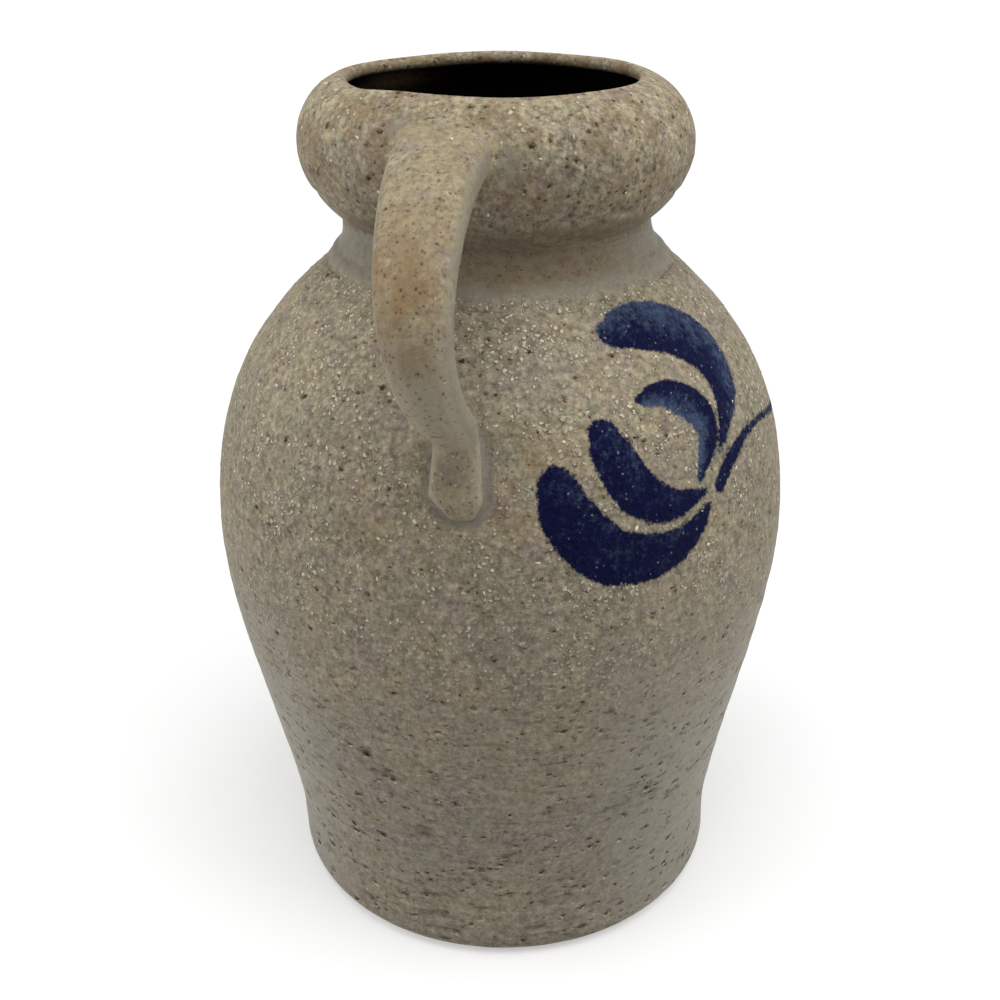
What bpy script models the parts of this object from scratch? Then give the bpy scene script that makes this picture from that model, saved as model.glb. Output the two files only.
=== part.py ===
"""Stoneware jug: a thrown body, a neck and collar thrown as a second piece, and a pulled strap handle.

The pieces are luted together: a film of slip fills each joint, and a named clearance keeps the solids apart.
Metres, +Z up. The origin is the middle of the foot, on the surface that the jug stands on. The handle leaves
the collar along +X, and its tail is pressed onto the shoulder a little to the +Y side.
"""

import math

import bmesh
import bpy
import numpy as np
from mathutils import Vector
from mathutils.geometry import interpolate_bezier

# Thrown body, from the foot up
FOOT_RADIUS = 0.0763
FOOT_EDGE_RADIUS = 0.0025
FOOT_BAND_HEIGHT = 0.022
FLARE_RISE = 0.114
FLARE_LEAN = math.radians(3.5)
BELLY_RADIUS = 0.0952
SHOULDER_RISE = 0.088
SHOULDER_PITCH = math.radians(40)
BODY_WALL = 0.007
FLOOR_THICKNESS = 0.009
FLOOR_FILLET = 0.010

# Neck and collar, from the seam on the shoulder up to the lip
SEAM_RADIUS = 0.0548
NECK_RISE = 0.0136
NECK_RADIUS = 0.0480
COLLAR_UNDERCUT = math.radians(41)
COLLAR_SWELL_RISE = 0.022
COLLAR_RADIUS = 0.0606
COLLAR_LIP_RISE = 0.0195
LIP_PITCH = math.radians(14)
LIP_RADIUS = 0.0475
COLLAR_WALL = 0.0056

# Strap handle, along its middle line from the collar to the tail
ROOT_RISE = 0.0055
ROOT_WIDTH = 0.0245
ROOT_THICKNESS = 0.0150
GRIP_REACH = 0.1105
GRIP_DROP = 0.035
GRIP_WIDTH = 0.0165
GRIP_THICKNESS = 0.0115
LANDING_DROP = 0.030
LANDING_LEAN = math.radians(20)
LANDING_WIDTH = 0.0120
LANDING_THICKNESS = 0.0095
TAIL_LENGTH = 0.0195
TAIL_WIDTH = 0.0148
TAIL_THICKNESS = 0.0075
TAIL_SKEW = math.radians(5.4)
STRAP_SQUARENESS = 2.6

# Joints: the slip between two pieces, how far it is squeezed out round the strap, and the clearance at each face
SLIP_THICKNESS = 0.0008
SLIP_SQUEEZE = 0.0006
JOINT_GAP = 0.0003

# How far each curve holds the direction of its two ends, as a share of its rise or drop
FLARE_FULLNESS = (0.25, 0.27)
SHOULDER_FULLNESS = (0.50, 0.39)
NECK_FULLNESS = (0.44, 0.48)
SWELL_FULLNESS = (0.45, 0.43)
LIP_FULLNESS = (0.49, 0.42)
ARCH_FULLNESS = (0.72, 0.46)
DESCENT_FULLNESS = (0.58, 0.17)
TAIL_FULLNESS = (0.30, 0.35)

# Facets: steps in a full turn, points along each curve and arc, and points round the strap
TURN_STEPS = 48
CURVE_POINTS = 9
ARC_POINTS = 5
STRAP_SIDES = 20

UP = Vector((0.0, 1.0))
DOWN = Vector((0.0, -1.0))
OUTWARD = Vector((1.0, 0.0))

# Heights of the jug's rings
BELLY_HEIGHT = FOOT_BAND_HEIGHT + FLARE_RISE
SEAM_HEIGHT = BELLY_HEIGHT + SHOULDER_RISE
SEAM_DEPTH = SLIP_THICKNESS + 2 * JOINT_GAP


def curve(start, start_direction, end, end_direction, fullness, points=CURVE_POINTS):
    """Points of one cubic curve in the half plane of radius and height."""
    span = abs(end.y - start.y)
    leave = start + start_direction * fullness[0] * span
    arrive = end - end_direction * fullness[1] * span
    return interpolate_bezier(start, leave, arrive, end, points)


def joined(*stretches):
    """One outline from stretches whose ends meet."""
    outline = list(stretches[0])
    for stretch in stretches[1:]:
        outline.extend(stretch[1:])
    return outline


def outward_normals(outline):
    """Unit normals of an outline that runs upwards with the clay on its left."""
    points = np.array(outline)
    along = np.gradient(points, axis=0)
    along /= np.linalg.norm(along, axis=1, keepdims=True)
    return [Vector((tangent[1], -tangent[0])) for tangent in along]


def offset(outline, distances):
    """The outline moved along its normals, by one distance or by one for each point."""
    moves = np.broadcast_to(distances, len(outline))
    return [point + normal * float(move) for point, normal, move in zip(outline, outward_normals(outline), moves)]


def arc(centre, radius, start_angle, end_angle):
    """Points of a circular arc in the half plane of radius and height."""
    angles = np.linspace(start_angle, end_angle, ARC_POINTS)
    return [centre + radius * Vector((math.cos(angle), math.sin(angle))) for angle in angles]


def wall_outline():
    """Outside of the body from the top of its foot edge to the seam."""
    edge = Vector((FOOT_RADIUS, FOOT_EDGE_RADIUS))
    knee = Vector((FOOT_RADIUS, FOOT_BAND_HEIGHT))
    belly = Vector((BELLY_RADIUS, BELLY_HEIGHT))
    seam = Vector((SEAM_RADIUS, SEAM_HEIGHT))
    lean = Vector((math.sin(FLARE_LEAN), math.cos(FLARE_LEAN)))
    flare = curve(knee, lean, belly, UP, FLARE_FULLNESS)
    shoulder = curve(belly, UP, seam, seam_direction(), SHOULDER_FULLNESS)
    return joined([edge, knee], flare, shoulder)


def seam_direction():
    """The way the shoulder runs where it meets the neck."""
    return Vector((-math.cos(SHOULDER_PITCH), math.sin(SHOULDER_PITCH)))


def seam_point(depth):
    """The outside of the wall at a distance past the body's end, along the shoulder."""
    return Vector((SEAM_RADIUS, SEAM_HEIGHT)) + seam_direction() * depth


def across_wall():
    """From the outside of the wall to its inside, square to the shoulder at the seam."""
    return Vector((-math.sin(SHOULDER_PITCH), -math.cos(SHOULDER_PITCH))) * BODY_WALL


def collar_rings():
    """The crease under the collar, the collar's widest ring and the crest of its lip."""
    foot = seam_point(SEAM_DEPTH)
    crease = Vector((NECK_RADIUS, foot.y + NECK_RISE))
    widest = Vector((COLLAR_RADIUS, crease.y + COLLAR_SWELL_RISE))
    crest = Vector((LIP_RADIUS, widest.y + COLLAR_LIP_RISE))
    return crease, widest, crest


def neck_outline():
    """Outside of the neck, from the seam to the crease under the collar."""
    crease, _, _ = collar_rings()
    return curve(seam_point(SEAM_DEPTH), seam_direction(), crease, UP, NECK_FULLNESS)


def bulb_outline():
    """Outside of the collar, from the crease to the crest of the lip."""
    crease, widest, crest = collar_rings()
    undercut = Vector((math.cos(COLLAR_UNDERCUT), math.sin(COLLAR_UNDERCUT)))
    inward = Vector((-math.cos(LIP_PITCH), math.sin(LIP_PITCH)))
    swell = curve(crease, undercut, widest, UP, SWELL_FULLNESS)
    lip = curve(widest, UP, crest, inward, LIP_FULLNESS)
    return joined(swell, lip)


def lining_outline():
    """Inside of the body from the middle of the floor up to the seam."""
    inside = offset(wall_outline(), -BODY_WALL)
    inside[-1] = seam_point(0) + across_wall()
    corner_height = FLOOR_THICKNESS + FLOOR_FILLET
    above = [point for point in inside if point.y > corner_height]
    heights = [point.y for point in inside]
    corner_radius = float(np.interp(corner_height, heights, [point.x for point in inside]))
    centre = Vector((corner_radius - FLOOR_FILLET, corner_height))
    fillet = arc(centre, FLOOR_FILLET, -math.pi / 2, 0)
    return joined([Vector((0, FLOOR_THICKNESS)), fillet[0]], fillet, [fillet[-1]] + above)


def body_outline():
    """Section of the body: up the inside from the floor, then down the outside to the middle of the foot."""
    centre = Vector((FOOT_RADIUS - FOOT_EDGE_RADIUS, FOOT_EDGE_RADIUS))
    foot_edge = arc(centre, FOOT_EDGE_RADIUS, 0, -math.pi / 2)
    return lining_outline() + wall_outline()[::-1] + foot_edge[1:] + [Vector((0, 0))]


def collar_outline():
    """Section of the neck and collar: up the inside, round the lip, then down the outside to the seam."""
    neck, bulb = neck_outline(), bulb_outline()
    neck_inside = offset(neck, -np.linspace(BODY_WALL, COLLAR_WALL, len(neck)))
    neck_inside[0] = seam_point(SEAM_DEPTH) + across_wall()
    bulb_inside = offset(bulb, -COLLAR_WALL)
    middle = (bulb[-1] + bulb_inside[-1]) / 2
    lip_angle = math.pi - LIP_PITCH
    lip = arc(middle, COLLAR_WALL / 2, lip_angle + math.pi / 2, lip_angle - math.pi / 2)
    return neck_inside + bulb_inside[:-1] + lip + bulb[::-1][1:] + neck[::-1][1:]


def seam_slip_outline():
    """Section of the slip between the body and the neck."""
    lower, upper = seam_point(JOINT_GAP), seam_point(JOINT_GAP + SLIP_THICKNESS)
    return [lower + across_wall(), upper + across_wall(), upper, lower]


def jug_skin(distance):
    """Outside of the whole jug, from the foot to the lip, moved out by a distance."""
    return offset(joined(wall_outline(), neck_outline()), distance) + offset(bulb_outline(), distance)


def skin_solid_outline(distance):
    """Section of a solid jug, larger all round by a distance, that cuts the strap to its seats."""
    skin = jug_skin(distance)
    return [Vector((0, skin[-1].y))] + skin[::-1] + [Vector((0, skin[0].y))]


def film_outline(outline):
    """Section of a film of slip that lies on an outside, a clearance away from it."""
    return offset(outline, JOINT_GAP) + offset(outline, JOINT_GAP + SLIP_THICKNESS)[::-1]


def shoulder_seat(height, proud):
    """A point at a height on the shoulder, moved out along the wall's normal."""
    wall = wall_outline()
    normals = outward_normals(wall)
    heights = [point.y for point in wall]
    at = [float(np.interp(height, heights, values)) for values in zip(*[(*p, *n) for p, n in zip(wall, normals)])]
    return Vector(at[:2]) + Vector(at[2:]).normalized() * proud


def strap_stations():
    """Middle line of the strap in the half plane, and its width and thickness at each point."""
    _, widest, _ = collar_rings()
    root = Vector((COLLAR_RADIUS - COLLAR_WALL, widest.y + ROOT_RISE))
    grip = Vector((GRIP_REACH, root.y - GRIP_DROP))
    landing_height = SEAM_HEIGHT - LANDING_DROP
    landing = shoulder_seat(landing_height, LANDING_THICKNESS / 2)
    tail = shoulder_seat(landing_height - TAIL_LENGTH, SEAM_DEPTH)
    lean = Vector((-math.sin(LANDING_LEAN), -math.cos(LANDING_LEAN)))
    along_wall = (tail - landing).normalized()
    arch = curve(root, OUTWARD, grip, DOWN, ARCH_FULLNESS)
    descent = curve(grip, DOWN, landing, lean, DESCENT_FULLNESS)
    end = curve(landing, lean, tail, along_wall, TAIL_FULLNESS, ARC_POINTS + 1)
    line = joined(arch, descent, end)
    knots = (0, len(arch) - 1, len(arch) + len(descent) - 2, len(line) - 1)
    where = range(len(line))
    widths = np.interp(where, knots, (ROOT_WIDTH, GRIP_WIDTH, LANDING_WIDTH, TAIL_WIDTH))
    thicknesses = np.interp(where, knots, (ROOT_THICKNESS, GRIP_THICKNESS, LANDING_THICKNESS, TAIL_THICKNESS))
    return line, widths, thicknesses


def strap_ring(middle, tangent, azimuth, width, thickness):
    """One section of the strap: a rounded rectangle square to the middle line."""
    radial = Vector((math.cos(azimuth), math.sin(azimuth), 0))
    lateral = Vector((-math.sin(azimuth), math.cos(azimuth), 0))
    face = radial * -tangent.y + Vector((0, 0, tangent.x))
    centre = radial * middle.x + Vector((0, 0, middle.y))
    ring = []
    for side in range(STRAP_SIDES):
        angle = 2 * math.pi * side / STRAP_SIDES
        across = math.copysign(abs(math.cos(angle)) ** (2 / STRAP_SQUARENESS), math.cos(angle))
        deep = math.copysign(abs(math.sin(angle)) ** (2 / STRAP_SQUARENESS), math.sin(angle))
        ring.append(centre + lateral * across * width / 2 + face * deep * thickness / 2)
    return ring


def strap_mesh(name, margin=0.0):
    """The strap before it is cut to its seats, lofted along its middle line and larger all round by a margin."""
    line, widths, thicknesses = strap_stations()
    tangents = np.gradient(np.array(line), axis=0)
    tangents /= np.linalg.norm(tangents, axis=1, keepdims=True)
    lengths = np.concatenate([[0], np.cumsum([(b - a).length for a, b in zip(line, line[1:])])])
    line[-1] = line[-1] + Vector(tangents[-1]) * margin
    bm = bmesh.new()
    loops = []
    for middle, tangent, along, width, thickness in zip(line, tangents, lengths, widths, thicknesses):
        azimuth = TAIL_SKEW * along / lengths[-1]
        ring = strap_ring(middle, Vector(tangent), azimuth, width + 2 * margin, thickness + 2 * margin)
        verts = [bm.verts.new(point) for point in ring]
        loops.append([bm.edges.new(pair) for pair in zip(verts, verts[1:] + verts[:1])])
    for lower, upper in zip(loops, loops[1:]):
        bmesh.ops.bridge_loops(bm, edges=lower + upper)
    bmesh.ops.holes_fill(bm, edges=loops[0] + loops[-1], sides=STRAP_SIDES)
    bmesh.ops.recalc_face_normals(bm, faces=bm.faces)
    mesh = bpy.data.meshes.new(name)
    bm.to_mesh(mesh)
    bm.free()
    return mesh


def new_object(name, mesh, collection):
    mesh.shade_smooth()
    mesh.set_sharp_from_angle(angle=math.radians(45))
    made = bpy.data.objects.new(name, mesh)
    collection.objects.link(made)
    return made


def turned(name, outline, collection, closed=True):
    """An outline turned round the axis. A closed outline makes a ring, and an open one starts and ends on the axis."""
    mesh = bpy.data.meshes.new(name)
    edges = [(i, i + 1) for i in range(len(outline) - 1)]
    if closed:
        edges.append((len(outline) - 1, 0))
    mesh.from_pydata([(point.x, 0, point.y) for point in outline], edges, [])
    made = new_object(name, mesh, collection)
    screw = made.modifiers.new("turn", "SCREW")
    screw.steps = screw.render_steps = TURN_STEPS
    screw.use_merge_vertices = True
    screw.merge_threshold = JOINT_GAP / 10
    return made


def cutter(name, outline, collection, closed=True):
    made = turned(name, outline, collection, closed)
    made.hide_render = True
    made.display_type = "WIRE"
    return made


def boolean(target, other, operation):
    modifier = target.modifiers.new(operation.lower(), "BOOLEAN")
    modifier.operation = operation
    modifier.object = other


def clay(name, colour, roughness):
    material = bpy.data.materials.new(name)
    material.use_nodes = True
    shader = material.node_tree.nodes["Principled BSDF"]
    shader.inputs["Base Color"].default_value = (*colour, 1)
    shader.inputs["Roughness"].default_value = roughness
    shader.inputs["Metallic"].default_value = 0
    return material


def new_collection(name):
    made = bpy.data.collections.new(name)
    bpy.context.scene.collection.children.link(made)
    return made


def build():
    for old in list(bpy.data.objects):
        bpy.data.objects.remove(old)
    jug = new_collection("stoneware_jug")
    cutters = new_collection("cutters")

    grey_clay = clay("grey_clay", (0.230, 0.200, 0.152), 0.55)
    collar_clay = clay("collar_clay", (0.275, 0.228, 0.160), 0.58)
    strap_clay = clay("strap_clay", (0.330, 0.262, 0.170), 0.60)
    slip = clay("joint_slip", (0.190, 0.180, 0.165), 0.45)

    seats = cutter("seats", skin_solid_outline(SEAM_DEPTH), cutters, closed=False)
    collar_film = cutter("collar_film", film_outline(bulb_outline()), cutters)
    shoulder_film = cutter("shoulder_film", film_outline(wall_outline()), cutters)

    body = turned("body", body_outline(), jug, closed=False)
    collar = turned("neck_and_collar", collar_outline(), jug)
    seam_slip = turned("collar_seam_slip", seam_slip_outline(), jug)
    handle = new_object("strap_handle", strap_mesh("strap_handle"), jug)
    boolean(handle, seats, "DIFFERENCE")
    root_slip = new_object("handle_root_slip", strap_mesh("handle_root_slip", SLIP_SQUEEZE), jug)
    boolean(root_slip, collar_film, "INTERSECT")
    tail_slip = new_object("handle_tail_slip", strap_mesh("handle_tail_slip", SLIP_SQUEEZE), jug)
    boolean(tail_slip, shoulder_film, "INTERSECT")

    origin = bpy.data.objects.new("foot_centre", None)
    jug.objects.link(origin)
    finishes = ((body, grey_clay), (collar, collar_clay), (handle, strap_clay))
    for piece, material in finishes + tuple((joint, slip) for joint in (seam_slip, root_slip, tail_slip)):
        piece.data.materials.append(material)
        piece.parent = origin


build()
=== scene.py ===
"""Finished surfaces of a hand-thrown, salt-glazed stoneware jug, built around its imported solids.

The file is laid out as an add-on and run as a script. Metres, +Z up, in the frame of the solids: the origin
is the middle of the foot, and the strap handle leaves the collar along +X. Angles round the jug are counted
from +X towards +Y.
"""

import math

import bmesh
import bpy
import numpy as np
from bpy.props import (
    FloatProperty,
    FloatVectorProperty,
    IntProperty,
    PointerProperty,
)
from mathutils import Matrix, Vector
from mathutils.bvhtree import BVHTree
from mathutils.geometry import interpolate_bezier


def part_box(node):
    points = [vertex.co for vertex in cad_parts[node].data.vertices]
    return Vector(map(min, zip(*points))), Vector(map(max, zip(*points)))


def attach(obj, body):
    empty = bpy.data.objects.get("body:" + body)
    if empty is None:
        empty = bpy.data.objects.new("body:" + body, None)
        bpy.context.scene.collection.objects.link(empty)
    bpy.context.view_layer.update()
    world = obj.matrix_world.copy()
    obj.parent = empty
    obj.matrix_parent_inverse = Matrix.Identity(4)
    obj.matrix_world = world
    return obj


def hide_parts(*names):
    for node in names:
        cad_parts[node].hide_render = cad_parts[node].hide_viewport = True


bl_info = {
    "name": "Salt-glazed stoneware jug",
    "version": (1, 0, 0),
    "blender": (4, 5, 0),
    "location": "3D View > Sidebar > Jug",
    "description": "Throws, pulls, lutes and paints a stoneware jug around its packed solids",
    "category": "Add Mesh",
}

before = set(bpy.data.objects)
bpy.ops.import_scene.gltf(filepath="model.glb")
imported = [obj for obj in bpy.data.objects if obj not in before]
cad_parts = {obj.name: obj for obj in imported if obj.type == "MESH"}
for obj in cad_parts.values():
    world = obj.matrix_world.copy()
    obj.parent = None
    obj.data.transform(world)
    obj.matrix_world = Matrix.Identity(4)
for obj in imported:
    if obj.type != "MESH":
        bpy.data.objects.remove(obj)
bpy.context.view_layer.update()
_, BODY_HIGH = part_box("body")
_, COLLAR_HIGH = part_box("neck_and_collar")

BODY = "root"
MILLIMETRE = 0.001

UP = Vector((0, 1))
DOWN = Vector((0, -1))
OUTWARD = Vector((1, 0))


def ring_radius(node, low, high):
    """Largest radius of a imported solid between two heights."""
    points = np.array([vertex.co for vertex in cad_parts[node].data.vertices])
    band = points[(points[:, 2] >= low) & (points[:, 2] <= high)]
    return float(np.hypot(band[:, 0], band[:, 1]).max())


def length(name, description, default):
    return FloatProperty(name=name, description=description, default=default, unit="LENGTH", precision=5)


def angle(name, description, degrees):
    return FloatProperty(name=name, description=description, default=math.radians(degrees), unit="ROTATION")


def amount(name, description, default):
    return FloatProperty(name=name, description=description, default=default)


def colour(name, description, default):
    return FloatVectorProperty(name=name, description=description, default=default, size=3, subtype="COLOR",
                               min=0, max=1)


class JugThrownShape(bpy.types.PropertyGroup):
    """Sizes of the body, the neck and the collar."""

    foot_radius: length("Foot radius", "Radius of the straight band above the foot",
                        ring_radius("body", 0.001, 0.004))
    foot_edge: length("Foot edge", "Radius of the rounded edge under the foot", 0.0073)
    foot_band: length("Foot band", "Height at which the wall starts to flare", 0.022)
    flare_lean: angle("Flare lean", "Lean of the wall where the flare starts", 3.5)
    belly_radius: length("Belly radius", "Largest radius of the body", BODY_HIGH.y)
    belly_height: length("Belly height", "Height of the widest ring of the body", 0.136)
    seam_radius: length("Seam radius", "Outer radius where the neck is luted to the shoulder",
                        ring_radius("body", BODY_HIGH.z - MILLIMETRE, BODY_HIGH.z + MILLIMETRE))
    seam_height: length("Seam height", "Height where the neck is luted to the shoulder", BODY_HIGH.z)
    shoulder_pitch: angle("Shoulder pitch", "Slope of the shoulder at the seam", 40)
    neck_radius: length("Neck radius", "Radius of the neck under the collar", 0.0480)
    crease_height: length("Crease height", "Height of the crease between neck and collar", 0.2385)
    undercut: angle("Collar undercut", "Slope of the collar's underside at the crease", 41)
    collar_radius: length("Collar radius", "Largest radius of the collar", COLLAR_HIGH.y)
    collar_height: length("Collar height", "Height of the widest ring of the collar", 0.2605)
    lip_pitch: angle("Lip pitch", "Slope of the collar where it reaches the lip", 14)
    lip_radius: length("Lip radius", "Radius of the crest of the lip", 0.0464)
    lip_height: length("Lip height", "Height of the crest of the lip", 0.2800)
    wall: length("Body wall", "Thickness of the thrown body", 0.007)
    collar_wall: length("Collar wall", "Thickness of the collar", 0.0056)
    lip_wall: length("Lip wall", "Thickness of the lip's edge", 0.0040)
    floor: length("Floor", "Thickness of the floor", 0.009)
    foot_drift: length("Foot drift", "How far the foot sits off the axis, towards +Y", 0.0020)
    lip_drift: length("Lip drift", "How far the lip sits off the collar, towards -Y", 0.0010)
    collar_drift: length("Collar drift", "How far the collar sits off the axis, towards -Y", 0.0012)


class JugStrapShape(bpy.types.PropertyGroup):
    """Sizes of the pulled strap handle."""

    root_depth: length("Root depth", "How deep the strap starts inside the collar", 0.0045)
    root_height: length("Root height", "Height of the middle of the strap's root", 0.2660)
    root_width: length("Root width", "Width of the strap at the collar", 0.0270)
    root_thickness: length("Root thickness", "Thickness of the strap at the collar", 0.0150)
    grip_reach: length("Grip reach", "Largest radius of the strap's middle line", 0.1105)
    grip_drop: length("Grip drop", "How far the strap falls to its largest radius", 0.0350)
    grip_width: length("Grip width", "Width of the strap at its largest radius", 0.0180)
    grip_thickness: length("Grip thickness", "Thickness of the strap at its largest radius", 0.0115)
    landing_height: length("Landing height", "Height where the strap comes onto the shoulder", 0.1940)
    landing_lean: angle("Landing lean", "Lean of the strap where it comes onto the shoulder", 20)
    landing_width: length("Landing width", "Width of the strap where it lands", 0.0126)
    landing_thickness: length("Landing thickness", "Thickness of the strap where it lands", 0.0095)
    tail_length: length("Tail length", "How far the pressed tail runs down the shoulder", 0.0195)
    tail_width: length("Tail width", "Width of the pressed tail", 0.0160)
    tail_height: length("Tail height", "How far the pressed tail stands out of the wall", 0.0026)
    tail_skew: angle("Tail skew", "Turn of the tail round the jug, away from the root", 5.4)
    sway: length("Sway", "How far the strap bends sideways between root and tail", 0.0012)
    thumb_depth: length("Thumb depth", "Depth of the thumb's hollow in the tail", 0.0012)
    squareness: amount("Squareness", "Roundness of the strap's section: 2 is an ellipse", 2.6)


class JugClayFinish(bpy.types.PropertyGroup):
    """Colours of the fired clay, its grit, slip and glaze, and the marks of throwing."""

    grey: colour("Grey clay", "Cool grey of the thick glaze", (0.246, 0.219, 0.170))
    tan: colour("Tan clay", "Warm tan of the thin glaze", (0.330, 0.280, 0.188))
    # Painted sheen: this pale green-grey is laid low on the jug's sides towards +Y and -Y
    side_sheen: colour("Glassy glaze", "Pale green-grey where the salt glaze is thickest", (0.290, 0.275, 0.228))
    moss: colour("Moss glaze", "Green-grey of the pooled glaze", (0.240, 0.236, 0.165))
    mauve: colour("Mauve clay", "Pinkish grey where the glaze is thinnest", (0.262, 0.219, 0.184))
    # It also darkens the hollows of the scars' wrinkles and lightens the lining in a painted patch of light.
    # Umber is painted shade under the collar and inside the lip, and part of the painted shade on the neck.
    umber_stain_and_shade: colour("Umber stain", "Dark brown under the collar, round the neck and inside the lip",
                  (0.120, 0.080, 0.045))
    # Brown is also laid as painted shade on the neck and inside the lip
    brown: colour("Brown stain", "Brown blush where the flame touched", (0.205, 0.143, 0.080))
    flash: colour("Orange flash", "Orange-brown flash on the strap and the foot", (0.230, 0.148, 0.074))
    strap: colour("Strap clay", "Pale tan of the strap", (0.290, 0.242, 0.152))
    pit: colour("Pits", "Dark iron pits", (0.028, 0.018, 0.009))
    # Grain is also the colour of the painted highlight on the pits' lower edges
    grain: colour("Grain", "Pale quartz grains", (0.700, 0.640, 0.500))
    slip: colour("Slip", "Wiped slip at the joints", (0.238, 0.221, 0.175))
    chalk: colour("Chalky clay", "Pale grey of the strap's lower end", (0.350, 0.308, 0.230))
    damp: colour("Tail slip", "Darker slip wiped round the tail", (0.205, 0.186, 0.157))
    lining: colour("Lining", "Dark slip glaze inside", (0.004, 0.003, 0.002))
    bare: colour("Bare clay", "Unglazed clay under the foot", (0.330, 0.205, 0.110))
    contrast: amount("Contrast", "How far the clay's tone strays, fine and coarse alike", 0.42)
    relief: length("Relief", "Height of the clay's fine roughness", 0.00026)
    peel: length("Peel", "Height of the salt glaze's orange-peel bumps", 0.00042)
    ring_height: length("Ring height", "Height of the throwing rings", 0.00030)
    lump_height: length("Lump height", "Height of the wall's slow unevenness", 0.00040)
    strap_lumps: length("Strap lumps", "Height of the strap's slow unevenness", 0.00055)
    tear_depth: length("Tear depth", "Depth of the drag marks in the lower wall", 0.00055)
    grit_density: FloatProperty(name="Grit density", description="Grains on a square metre of the shoulder",
                                default=42000)
    grit_size: length("Grit size", "Usual width of a grain", 0.0010)
    seed: IntProperty(name="Seed", description="Seed of everything that is scattered", default=7)


class JugBrushwork(bpy.types.PropertyGroup):
    """Colours and edge of the cobalt brushwork."""

    dark: colour("Dark cobalt", "Cobalt where the brush was full", (0.0008, 0.0026, 0.0300))
    wash: colour("Cobalt wash", "Cobalt where the brush ran dry", (0.0500, 0.0740, 0.1300))
    # Partly pale grains, partly painted glints of the salt glaze on the cobalt
    grains_and_glints: colour("Bloom", "Pale blue grains that show through the cobalt", (0.300, 0.310, 0.360))
    edge: length("Ragged edge", "How far the edge of a stroke wanders over the grit", 0.0009)


class JugStage(bpy.types.PropertyGroup):
    """Camera, floor and soft light."""

    azimuth: angle("Camera azimuth", "Turn of the camera round the jug", 103)
    pitch: angle("Camera pitch", "How far the camera looks down", 26.235)
    distance: length("Camera distance", "From the jug's axis to the camera, level", 0.4067)
    height: length("Camera height", "Height of the camera", 0.3370)
    lens: FloatProperty(name="Lens", description="Focal length on a 36 mm sensor", default=46.8)
    top_light: amount("Top light", "Power of the softbox overhead, in watts", 12.8)
    left_light: amount("Left light", "Power of the softbox on the left, in watts", 7.3)
    right_light: amount("Right light", "Power of the softbox on the right, in watts", 5.7)
    surround: amount("Surround", "Strength of the white surround's light", 0.10)
    floor_size: length("Floor size", "Side of the floor", 40.0)
    floor: colour("Floor", "Colour of the floor", (0.65, 0.65, 0.65))
    near_glow: amount("Near glow", "How far the floor is lifted to white beside the jug, where seen", 0.42)
    far_glow: amount("Far glow", "How far the floor is lifted to white past the lamps, where seen", 0.95)


def thrown():
    return bpy.context.scene.jug_thrown


def strap():
    return bpy.context.scene.jug_strap


def finish():
    return bpy.context.scene.jug_finish


def brushwork():
    return bpy.context.scene.jug_brushwork


def stage_set():
    return bpy.context.scene.jug_stage


# Node trees

class Field:
    """A socket in a node tree. Sums and comparisons on it add nodes to the same tree."""

    def __init__(self, nodes, socket):
        self.nodes = nodes
        self.socket = socket

    def math(self, operation, *others):
        inputs = dict(enumerate((self, *others)))
        return self.nodes.add("ShaderNodeMath", {"operation": operation}, inputs)

    def __add__(self, other):
        return self.math("ADD", other)

    __radd__ = __add__

    def __sub__(self, other):
        return self.math("SUBTRACT", other)

    def __rsub__(self, other):
        return self.nodes.add("ShaderNodeMath", {"operation": "SUBTRACT"}, {0: other, 1: self})

    def __mul__(self, other):
        return self.math("MULTIPLY", other)

    __rmul__ = __mul__

    def __truediv__(self, other):
        return self.math("DIVIDE", other)

    def __rtruediv__(self, other):
        return self.nodes.add("ShaderNodeMath", {"operation": "DIVIDE"}, {0: other, 1: self})

    def most(self, other):
        return self.math("MAXIMUM", other)

    def least(self, other):
        return self.math("MINIMUM", other)

    def clamped(self):
        return self.most(0).least(1)

    def ramp(self, low, high):
        """0 at low and 1 at high, with soft ends. Low may lie above high."""
        return self.nodes.add("ShaderNodeMapRange", {"interpolation_type": "SMOOTHSTEP"},
                              {"Value": self, "From Min": low, "From Max": high})

    def other(self, name):
        """Another output of the same node."""
        return Field(self.nodes, self.socket.node.outputs[name])


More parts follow.
